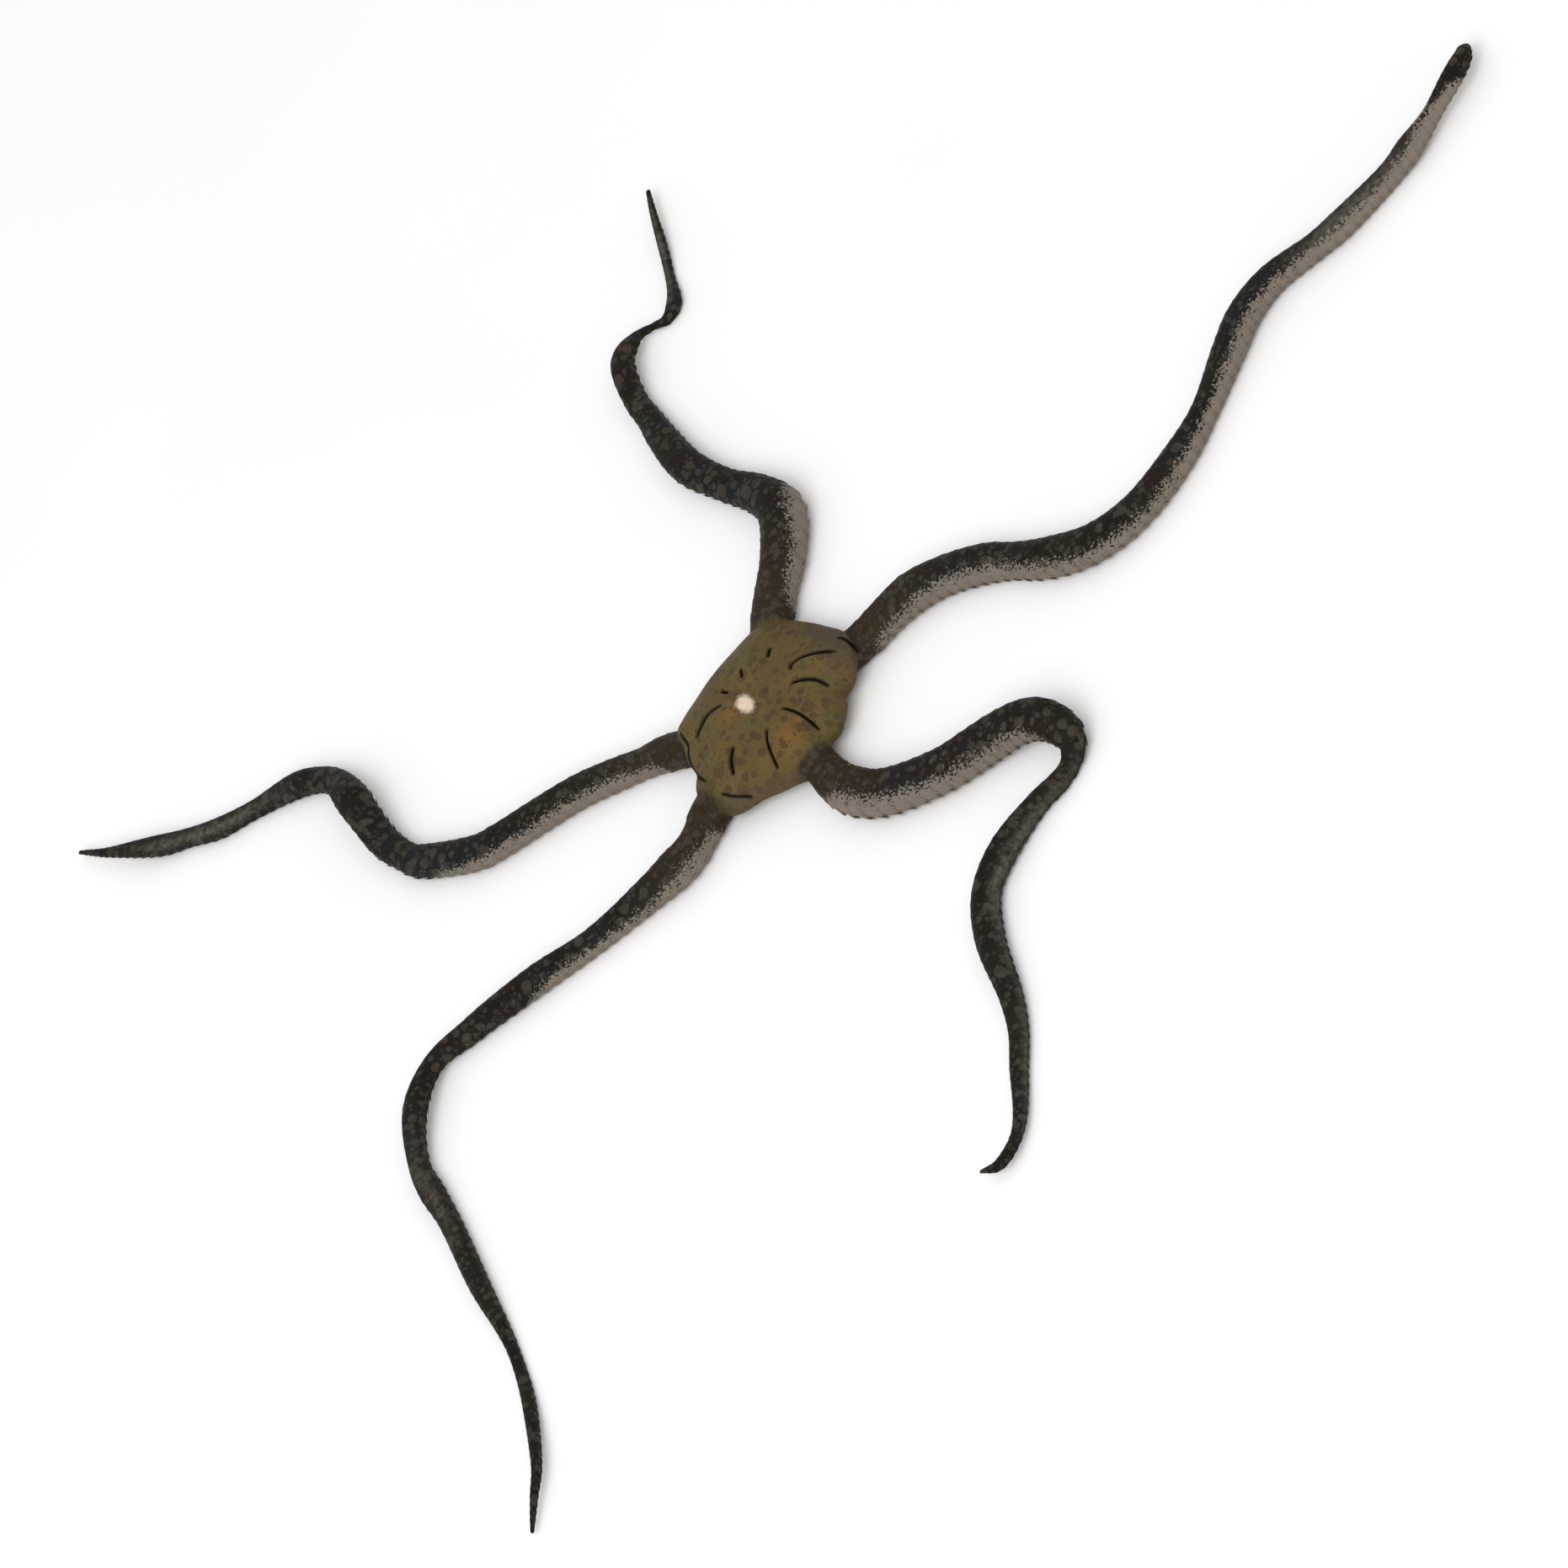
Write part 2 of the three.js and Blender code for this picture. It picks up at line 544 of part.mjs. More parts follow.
// The disc: the dome with the arms' stumps, furrows above, and shields, slits and the mouth's hollow below.
function makeDisc() {
  const whole = joined(solid(discDome()), [...ARMS.map(armStump), ...SIDE_BEARINGS.map(mouthShield)]);
  const hollow = prism(new THREE.Shape(mouthOutline(GAP)), -GAP, MOUTH_DEPTH + GAP);
  const body = cut(whole, [...FURROWS.map(furrowCutter), ...ARM_BEARINGS.flatMap(bellySlits), hollow]);
  return namedMesh("disc", geometryOf(body), MATERIALS.disc);
}

const brittleStar = new THREE.Group();
brittleStar.add(makeDisc(), makeMouthFrame());
ARMS.forEach((arm, i) => brittleStar.add(...makeArm(arm, i)));

export default brittleStar;
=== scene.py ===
"""A smooth brittle star of life size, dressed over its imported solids.

The classes hold their sizes in millimetres; meshes are written in metres. East is +X, north is +Y,
and the floor is at height 0, under the middle of the mouth.
"""

import logging
from dataclasses import dataclass, field
from enum import Enum
from math import cos, pi, radians, sin
from random import Random
from typing import Sequence, Union

import bpy
import numpy as np
from mathutils import Matrix, Vector


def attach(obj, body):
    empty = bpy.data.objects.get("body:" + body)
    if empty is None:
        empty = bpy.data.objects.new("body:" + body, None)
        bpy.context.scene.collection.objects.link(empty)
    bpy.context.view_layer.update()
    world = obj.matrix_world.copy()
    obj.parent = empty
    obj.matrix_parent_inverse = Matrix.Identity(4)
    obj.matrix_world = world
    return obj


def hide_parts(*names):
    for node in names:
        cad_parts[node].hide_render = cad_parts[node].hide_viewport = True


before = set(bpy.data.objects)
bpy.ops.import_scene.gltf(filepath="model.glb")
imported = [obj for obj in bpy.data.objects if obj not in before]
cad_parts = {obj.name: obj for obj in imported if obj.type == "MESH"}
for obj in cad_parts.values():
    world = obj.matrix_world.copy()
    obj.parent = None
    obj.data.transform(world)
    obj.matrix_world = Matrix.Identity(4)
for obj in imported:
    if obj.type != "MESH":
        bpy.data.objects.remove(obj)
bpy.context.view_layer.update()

Array = np.ndarray
Pair = tuple[float, float]
Socket = bpy.types.NodeSocket

MM = 0.001
BODY = "root"
LOG = logging.getLogger("brittle_star")

# Half the usual angle between two arms, in degrees.
HALF_GAP = 36.0
# How strongly the underside takes the belly's colour.
BELLY_SHARE = 0.8


class Slot(Enum):
    """The record's material slots."""

    SKIN = "skin"
    MOUTH = "mouth_skin"


class Side(Enum):
    """A side of an arm, seen along its heading."""

    LEFT = -1
    RIGHT = 1


def share_between(values: Array, low: float, high: float) -> Array:
    """Give how far values are on the way from a low to a high one, from 0 to 1."""
    return np.clip((values - low) / (high - low), 0.0, 1.0)


def smooth_step(values: Array, low: float, high: float) -> Array:
    """Rise softly from 0 at a low value to 1 at a high one."""
    share = share_between(values, low, high)
    return share * share * (3.0 - 2.0 * share)


def turn_from(degrees: Array, bearings: Sequence[float]) -> Array:
    """Give how far directions are from the nearest of some bearings, in degrees."""
    return np.min([np.abs((degrees - bearing + 180.0) % 360.0 - 180.0) for bearing in bearings], axis=0)


def hill(degrees: Array, bearing: float, spread: float) -> Array:
    """Rise to 1 at a bearing and fall to about a third at a spread from it, in degrees."""
    return np.exp(-((turn_from(degrees, [bearing]) / spread) ** 2))


def compass(points: Array) -> tuple[Array, Array]:
    """Give how far points are from the middle of the disc, and their directions in degrees."""
    return np.hypot(points[:, 0], points[:, 1]), np.degrees(np.arctan2(points[:, 1], points[:, 0]))


def around(radius: Array, degrees: Array) -> Array:
    """Give east and north of points at distances from the middle and directions in degrees."""
    turned = np.radians(degrees)
    return np.stack([radius * np.cos(turned), radius * np.sin(turned)], axis=1)


def out_and_aside(plan: Array, bearing: float) -> tuple[Array, Array]:
    """Give how far places lie out along a bearing, and how far to its left."""
    turned = radians(bearing)
    return plan @ np.array([cos(turned), sin(turned)]), plan @ np.array([-sin(turned), cos(turned)])


def paint(code: str) -> tuple[float, float, float, float]:
    """Turn a six-digit colour into Blender's linear colour.

    Args:
        code: Red, green and blue as two hexadecimal digits each.

    Returns:
        Linear red, green, blue and full opacity.
    """
    shares = [int(code[i : i + 2], 16) / 255.0 for i in (0, 2, 4)]
    linear = [s / 12.92 if s <= 0.04045 else ((s + 0.055) / 1.055) ** 2.4 for s in shares]
    return (linear[0], linear[1], linear[2], 1.0)


def smooth_curve(points: Array, steps: int) -> Array:
    """Lay a smooth curve through points, whose pace follows the gaps between them.

    Args:
        points: One row for each point.
        steps: How many steps each gap is divided into.

    Returns:
        The points of the curve.
    """
    line = np.vstack([2 * points[0] - points[1], points, 2 * points[-1] - points[-2]])
    gaps = np.sqrt(np.linalg.norm(np.diff(line, axis=0), axis=1))
    share = np.linspace(0.0, 1.0, steps, endpoint=False)[:, None]
    spans = []
    for i in range(len(points) - 1):
        before, start, end, after = line[i : i + 4]
        first, middle, last = gaps[i : i + 3]
        leave = (start - before) / first - (end - before) / (first + middle) + (end - start) / middle
        arrive = (end - start) / middle - (after - start) / (middle + last) + (after - end) / last
        leave, arrive = leave * middle, arrive * middle
        square = -3 * start + 3 * end - 2 * leave - arrive
        cube = 2 * start - 2 * end + leave + arrive
        spans.append(start + leave * share + square * share**2 + cube * share**3)
    return np.vstack(spans + [points[-1:]])


def placed(name: str, data: bpy.types.ID) -> bpy.types.Object:
    """Put an object into the scene.

    Args:
        name: The object's name.
        data: Its mesh, camera or light.

    Returns:
        The object.
    """
    made = bpy.data.objects.new(name, data)
    bpy.context.scene.collection.objects.link(made)
    return made


def read(items: Sequence, name: str, kind: type = np.int32, width: int = 1) -> Array:
    """Read one property of a mesh's points, edges, faces or corners.

    Args:
        items: What to read from.
        name: The property.
        kind: Its kind of number.
        width: How many values each item has.

    Returns:
        The values, in one row for each item if it has several.
    """
    values = np.empty(len(items) * width, kind)
    items.foreach_get(name, values)
    return values.reshape(-1, width) if width > 1 else values


def write_numbers(mesh: bpy.types.Mesh, numbers: dict[str, Array]) -> None:
    """Write numbers on a mesh's points.

    Args:
        mesh: The mesh.
        numbers: One value for each point, by the number's name.
    """
    for name, values in numbers.items():
        attribute = mesh.attributes.new(name, "FLOAT", "POINT")
        attribute.data.foreach_set("value", values.astype(np.float32))


def write_map(mesh: bpy.types.Mesh, places: Array) -> None:
    """Write the map for the bake, with one place for each corner of each face."""
    mesh.uv_layers.new(name="OFBake").uv.foreach_set("vector", places.astype(np.float32).ravel())


Number = Union["Value", float]
Given = Union["Value", Socket, float, tuple]
Inputs = dict[Union[str, int], Given]


class Value:
    """A number that changes over a surface. Arithmetic on it adds Math nodes."""

    def __init__(self, shader: "Shader", socket: Socket) -> None:
        """Keep the socket that gives the number, and the shader it is in."""
        self.shader = shader
        self.socket = socket

    def _worked_out(self, operation: str, first: Number, second: Number) -> "Value":
        """Add one Math node for two numbers."""
        node = self.shader.node("ShaderNodeMath", {"operation": operation}, {0: first, 1: second})
        return Value(self.shader, node.outputs[0])

    def __add__(self, other: Number) -> "Value":
        """Give self + other."""
        return self._worked_out("ADD", self, other)

    def __sub__(self, other: Number) -> "Value":
        """Give self - other."""
        return self._worked_out("SUBTRACT", self, other)

    def __rsub__(self, other: float) -> "Value":
        """Give other - self."""
        return self._worked_out("SUBTRACT", other, self)

    def __mul__(self, other: Number) -> "Value":
        """Give self * other."""
        return self._worked_out("MULTIPLY", self, other)

    __radd__ = __add__


class Shader:
    """A material with one Principled shader, and the nodes that feed it."""

    def __init__(self, name: str, constants: Inputs) -> None:
        """Make an empty material.

        Args:
            name: The material's name.
            constants: What is the same all over the surface, by the shader's own socket names.
        """
        self.material = bpy.data.materials.new(name)
        self.material.use_nodes = True
        self.tree = self.material.node_tree
        self.tree.nodes.clear()
        self.principled = self.node("ShaderNodeBsdfPrincipled", {}, constants)
        self.node("ShaderNodeOutputMaterial", {}, {"Surface": self.principled.outputs[0]})
        metres = self.node("ShaderNodeTexCoord", {}, {}).outputs["Object"]
        self.place = self.scaled(metres, 1.0 / MM)

    def feed(self, node: bpy.types.Node, inputs: Inputs) -> None:
        """Set or link sockets of a node.

        Args:
            node: The node.
            inputs: Values or links for its sockets, by name or number.
        """
        for key, given in inputs.items():
            source = given.socket if isinstance(given, Value) else given
            if isinstance(source, Socket):
                self.tree.links.new(source, node.inputs[key])
            else:
                node.inputs[key].default_value = source

    def node(self, kind: str, settings: dict[str, object], inputs: Inputs) -> bpy.types.Node:
        """Add one node.

        Args:
            kind: The node's type.
            settings: Its own settings, which are set first.
            inputs: Values or links for its sockets.

        Returns:
            The new node.
        """
        made = self.tree.nodes.new(kind)
        for name, setting in settings.items():
            setattr(made, name, setting)
        self.feed(made, inputs)
        return made

    def value(self, kind: str, settings: dict[str, object], inputs: Inputs, output: str) -> Value:
        """Add one node and give the number at one of its outputs."""
        return Value(self, self.node(kind, settings, inputs).outputs[output])

    def attribute(self, name: str) -> Value:
        """Give a number that the mesh carries on its points."""
        settings = {"attribute_type": "GEOMETRY", "attribute_name": name}
        return self.value("ShaderNodeAttribute", settings, {}, "Fac")

    def shifted(self, shift: float) -> Socket:
        """Give the place on the surface in millimetres, moved along so that patterns differ."""
        moved = self.node("ShaderNodeVectorMath", {}, {0: self.place, 1: (shift, 2.0 * shift, -shift)})
        return moved.outputs[0]

    def noise(self, size: float, shift: float = 0.0, detail: float = 2.0) -> Value:
        """Give a soft random pattern around 0.5, with patches of a size in millimetres."""
        sockets = {"Vector": self.shifted(shift), "Scale": 1.0 / size, "Detail": detail}
        return self.value("ShaderNodeTexNoise", {}, sockets, "Fac")

    def uneven(self, low: float, high: float, size: float, shift: float, detail: float = 2.0) -> Value:
        """Give a number that changes softly between about a low and a high value, by a noise."""
        return low + self.noise(size, shift, detail) * (high - low)

    def ramp(self, value: Number, low: float, high: float) -> Value:
        """Rise softly from 0 at a low value to 1 at a high one."""
        sockets = {"Value": value, "From Min": low, "From Max": high}
        return self.value("ShaderNodeMapRange", {"interpolation_type": "SMOOTHSTEP"}, sockets, "Result")

    def spots(self, size: float, reach: Pair, shift: float, edge: float = 0.025) -> Value:
        """Give round spots of random sizes, 1 inside and 0 outside.

        Args:
            size: How far apart their middles are, in millimetres.
            reach: The least and greatest radius, as shares of that; a negative one gives no spot.
            shift: Moves them, so that two patterns differ.
            edge: How soft their edge is, as a share of the size.

        Returns:
            The mask.
        """
        sockets = {"Vector": self.shifted(shift), "Scale": 1.0 / size}
        cells = self.node("ShaderNodeTexVoronoi", {}, sockets)
        parts = self.node("ShaderNodeSeparateColor", {}, {0: cells.outputs["Color"]})
        radius = Value(self, parts.outputs[0]) * (reach[1] - reach[0]) + reach[0]
        distance = Value(self, cells.outputs["Distance"])
        return 1.0 - self.ramp(distance - radius, -edge, edge)

    def grains(self, size: float) -> Value:
        """Give small rounded grains, 1 on top of each and less between them, by their size."""
        sockets = {"Vector": self.place, "Scale": 1.0 / size, "Smoothness": 0.3}
        return 1.0 - self.value("ShaderNodeTexVoronoi", {"feature": "SMOOTH_F1"}, sockets, "Distance")

    def blend(self, share: Number, under: Given, over: Given) -> Socket:
        """Lay one colour over another, by a share from 0 to 1."""
        settings = {"data_type": "RGBA", "clamp_factor": True}
        return self.node("ShaderNodeMix", settings, {0: share, 6: under, 7: over}).outputs[2]

    def scaled(self, given: Given, factor: Number) -> Socket:
        """Multiply a place, or a colour, which gets lighter or darker, by a number."""
        sockets = {0: given, "Scale": factor}
        return self.node("ShaderNodeVectorMath", {"operation": "SCALE"}, sockets).outputs[0]

    def bump(self, height: Value, rise: float, under: Union[Socket, None] = None) -> Socket:
        """Turn a height pattern into a bent normal.

        Args:
            height: The pattern, from 0 to 1.
            rise: How high it stands at 1, in millimetres.
            under: A bent normal to add to.

        Returns:
            The bent normal.
        """
        sockets: Inputs = {"Height": height, "Distance": rise * MM, "Strength": 1.0}
        if under is not None:
            sockets["Normal"] = under
        return self.node("ShaderNodeBump", {}, sockets).outputs[0]

    def finish(self, channels: Inputs) -> bpy.types.Material:
        """Feed what changes over the surface to the shader, by its socket names, and give the material."""
        self.feed(self.principled, channels)
        return self.material


@dataclass(frozen=True)
class Patches:
    """A layer of soft patches: their size, a shift, the noise at which they begin and are full, a colour."""

    size: float
    shift: float
    low: float
    high: float
    colour: str
    detail: float = 2.0

    def cover(self, shader: Shader) -> Value:
        """Give how strongly the patches cover each place."""
        return shader.ramp(shader.noise(self.size, self.shift, self.detail), self.low, self.high)


@dataclass(frozen=True)
class Spots:
    """A layer of round spots: how far apart they are, a shift, how strongly they cover, their colour."""

    size: float
    shift: float
    strength: float
    colour: str
    reach: Pair = (-0.05, 0.52)

    def cover(self, shader: Shader) -> Value:
        """Give how strongly the spots cover each place."""
        return shader.spots(self.size, self.reach, self.shift) * self.strength


def layered(shader: Shader, under: Given, layers: Sequence[Union[Patches, Spots]]) -> Given:
    """Lay patches or spots over a colour.

    Args:
        shader: The material to work in.
        under: The colour below.
        layers: The layers, the lowest first.

    Returns:
        The colour with its layers.
    """
    for layer in layers:
        under = shader.blend(layer.cover(shader), under, paint(layer.colour))
    return under


@dataclass(frozen=True)
class SkinFinish:
    """The olive, granular skin of the disc, which runs into the dark plates of the arms."""

    arm: str = "1c1711"
    arm_root: str = "32281b"
    # Painted highlight: the colour of the soft pale streaks along the arms' backs.
    arm_painted_highlight: str = "6b665b"
    flank: str = "84796d"
    flank_grey: str = "71685e"
    olive: str = "5a4c2c"
    orange: str = "73542a"
    rim: str = "4c4234"
    blotch: str = "d8c4b0"
    # Painted shade: the near-black of the lines in the furrows and where the disc's edge meets the arms.
    line: str = "0b0907"
    belly: str = "83755f"
    arm_patches: tuple[Patches, ...] = (
        Patches(9.0, 0.0, 0.45, 0.6, "1d1d1d"),
        Patches(6.0, 40.0, 0.5, 0.65, "1f1f15"),
        Patches(4.0, 80.0, 0.52, 0.66, "221a15"),
    )
    disc_patches: tuple[Patches, ...] = (
        Patches(5.0, 3.0, 0.45, 0.62, "59502e"),
        Patches(4.0, 33.0, 0.48, 0.66, "614f2f"),
    )
    arm_spots: tuple[Spots, ...] = (
        Spots(1.6, 11.0, 0.55, "474035"),
        Spots(1.1, 23.0, 0.5, "45403a"),
        Spots(0.65, 31.0, 0.35, "433e38"),
    )
    disc_spots: tuple[Spots, ...] = (
        Spots(2.1, 17.0, 0.55, "453627"),
        Spots(1.2, 29.0, 0.65, "453627"),
        Spots(0.6, 37.0, 0.55, "4a3d31"),
    )
    gloss: float = 0.06
    tip_dark: float = 0.2
    # Painted shade: how much the grooves between the arms' plates are darkened.
    crevice_shade_strength: float = 0.35
    flank_cover: float = 0.95
    fleck_cover: float = 0.6
    fleck_reach: Pair = (-0.3, 0.42)
    grain: float = 0.3
    grain_rise: float = 0.04
    fine_grain: float = 0.14
    fine_rise: float = 0.02

    def arms(self, shader: Shader) -> Socket:
        """Mix the colour of the arms.

        Args:
            shader: The material to work in.

        Returns:
            The colour.
        """
        colour = layered(shader, paint(self.arm), self.arm_patches)
        root = shader.attribute("root") * shader.uneven(0.6, 1.2, 1.8, 44.0)
        colour = shader.blend(root, colour, paint(self.arm_root))
        colour = layered(shader, colour, self.arm_spots)
        # Painted highlight: soft pale streaks along the back, laid into the colour.
        light = shader.attribute("light") * shader.uneven(-0.3, 1.3, 0.7, 95.0)
        colour = shader.blend(light, colour, paint(self.arm_painted_highlight))
        colour = shader.scaled(colour, 1.0 - shader.attribute("tip") * self.tip_dark)
        return self.flanked(shader, colour)

    def flanked(self, shader: Shader, colour: Given) -> Socket:
        """Lay the pale flank over the arm's colour, with dark flecks along its edge.

        Args:
            shader: The material to work in.
            colour: The arm's colour.

        Returns:
            The colour with its flank.
        """
        below = shader.attribute("flank")
        ragged = shader.uneven(-0.65, 0.65, 0.3, 5.0) + shader.uneven(-0.175, 0.175, 1.4, 9.0)
        bare = shader.ramp(below * 0.5 + ragged, -0.06, 0.1)
        flecks = shader.spots(0.45, self.fleck_reach, 61.0, 0.1) * (1.0 - shader.ramp(below, 0.1, 0.8))
        pale = shader.blend(shader.noise(1.6, 15.0), paint(self.flank_grey), paint(self.flank))
        return shader.blend(bare * (self.flank_cover - flecks * self.fleck_cover), colour, pale)

    def disc(self, shader: Shader) -> Socket:
        """Mix the colour of the disc.

        Args:
            shader: The material to work in.

        Returns:
            The colour.
        """
        colour = layered(shader, paint(self.olive), self.disc_patches)
        warm = shader.attribute("warm") * shader.uneven(0.5, 1.5, 1.5, 60.0)
        colour = shader.blend(warm, colour, paint(self.orange))
        colour = layered(shader, colour, self.disc_spots)
        colour = shader.blend(shader.attribute("rim"), colour, paint(self.rim))
        ragged = shader.attribute("blotch") + shader.uneven(-0.25, 0.25, 0.4, 70.0, 3.0)
        return shader.blend(shader.ramp(ragged, 0.18, 0.64), colour, paint(self.blotch))

    def material(self) -> bpy.types.Material:
        """Make the material of the whole skin.

        Returns:
            The material.
        """
        shader = Shader("skin", {"Specular IOR Level": self.gloss})
        over = shader.attribute("disc") + shader.uneven(-0.25, 0.25, 0.9, 51.0, 3.0)
        on_disc = shader.ramp(over, 0.15, 0.85)
        colour = shader.blend(on_disc, self.arms(shader), self.disc(shader))
        colour = shader.blend(shader.attribute("belly"), colour, paint(self.belly))
        # Painted shade darkens the grooves between the arms' plates.
        crevice_shade = 1.0 - shader.attribute("crevice_shade") * self.crevice_shade_strength
        colour = shader.scaled(colour, shader.uneven(0.84, 1.16, 0.3, 7.0, 3.0) * crevice_shade)
        # Painted shade: dark lines along the furrows and where the disc's edge meets the arms.
        colour = shader.blend(shader.attribute("line"), colour, paint(self.line))
        normal = shader.bump(shader.grains(self.grain) * on_disc, self.grain_rise)
        normal = shader.bump(shader.noise(self.fine_grain, 2.0), self.fine_rise, normal)
        rough = shader.uneven(0.45, 0.65, 1.2, 19.0)
        return shader.finish({"Base Color": colour, "Roughness": rough, "Normal": normal})


@dataclass(frozen=True)
class SpineFinish:
    """Flat spines in the colours of the plates they lie on, a little paler to the tip."""

    skin: SkinFinish
    tip: str = "7d7266"
    tip_share: float = 0.3
    tip_start: float = 0.5
    grain: float = 0.1
    grain_rise: float = 0.01

    def material(self) -> bpy.types.Material:
        """Make the material of the spines.

        Returns:
            The material.
        """
        shader = Shader("spine", {"Specular IOR Level": self.skin.gloss})
        out = shader.ramp(shader.attribute("out"), self.tip_start, 1.0)
        colour = shader.blend(out * self.tip_share, self.skin.arms(shader), paint(self.tip))
        colour = shader.scaled(colour, shader.uneven(0.82, 1.18, 0.35, 3.0))
        rough = shader.uneven(0.45, 0.65, 0.5, 13.0)
        normal = shader.bump(shader.noise(self.grain, 5.0), self.grain_rise)
        return shader.finish({"Base Color": colour, "Roughness": rough, "Normal": normal})


@dataclass(frozen=True)
class MouthFinish:
    """The pale, finely grained skin of the jaws."""

    bone: str = "a2947f"
    stains: tuple[Patches, ...] = (Patches(1.1, 4.0, 0.4, 0.65, "7c6c58", 3.0),)
    gloss: float = 0.4
    grain: float = 0.25
    grain_rise: float = 0.03

    def material(self) -> bpy.types.Material:
        """Make the material of the mouth frame.

        Returns:
            The material.
        """
        shader = Shader("mouth_skin", {"Specular IOR Level": self.gloss})
        colour = layered(shader, paint(self.bone), self.stains)
        colour = shader.scaled(colour, shader.uneven(0.85, 1.15, 0.25, 8.0))
        rough = shader.uneven(0.55, 0.75, 0.8, 2.0)
        normal = shader.bump(shader.grains(self.grain), self.grain_rise)
        return shader.finish({"Base Color": colour, "Roughness": rough, "Normal": normal})


@dataclass(frozen=True)
class FloorFinish:
    """A plain, pale, matt floor."""

    light: str = "fafafa"
    shade: str = "f4f4f3"
    patch: float = 60.0

    def material(self) -> bpy.types.Material:
        """Make the material of the floor.

        Returns:
            The material.
        """
        shader = Shader("floor", {"Roughness": 0.9, "Specular IOR Level": 0.1})
        colour = shader.blend(shader.noise(self.patch, 1.0), paint(self.light), paint(self.shade))
        return shader.finish({"Base Color": colour})


@dataclass
class Sheet:
    """A mesh in the making: points in millimetres, faces, and numbers on the points."""

    points: Array
    faces: list[tuple[int, ...]]
    numbers: dict[str, Array] = field(default_factory=dict)

    def piece(self, name: str, material: bpy.types.Material) -> bpy.types.Object:
        """Make the mesh as an object in the scene.

        Args:
            name: The piece's name.
            material: Its finish.

        Returns:
            The object.
        """
        mesh = bpy.data.meshes.new(name)
        mesh.from_pydata((self.points * MM).tolist(), [], self.faces)
        write_numbers(mesh, self.numbers)
        mesh.shade_smooth()
        mesh.materials.append(material)
        return placed(name, mesh)


def tube_faces(rings: int, corners: int, closed: bool) -> list[tuple[int, ...]]:
    """List the faces between rings of points, each ring counted counter-clockwise seen from its end.

    Args:
        rings: How many rings there are.
        corners: How many points each has.
        closed: Whether the first and the last ring are closed by a face.

    Returns:
        The faces, pointing outwards.
    """
    faces: list[tuple[int, ...]] = []
    for i in range(rings - 1):
        for k in range(corners):
            a = i * corners + k
            b = i * corners + (k + 1) % corners
            faces.append((a, b, b + corners, a + corners))
    if closed:
        faces.append(tuple(reversed(range(corners))))
        faces.append(tuple(range((rings - 1) * corners, rings * corners)))
    return faces


def stacked(degrees: Array, rings: list[tuple[Array, Array]]) -> Sheet:
    """Join rings round the middle, given as distances from it and heights, into a closed surface."""
    points = [np.column_stack([around(radius, degrees), height]) for radius, height in rings]
    return Sheet(np.vstack(points), tube_faces(len(rings), len(degrees), True))


@dataclass
class Places:
    """Places along an arm: the middle of its underside, the way to its right side, and its width."""

    middle: Array
    side: Array
    width: Array


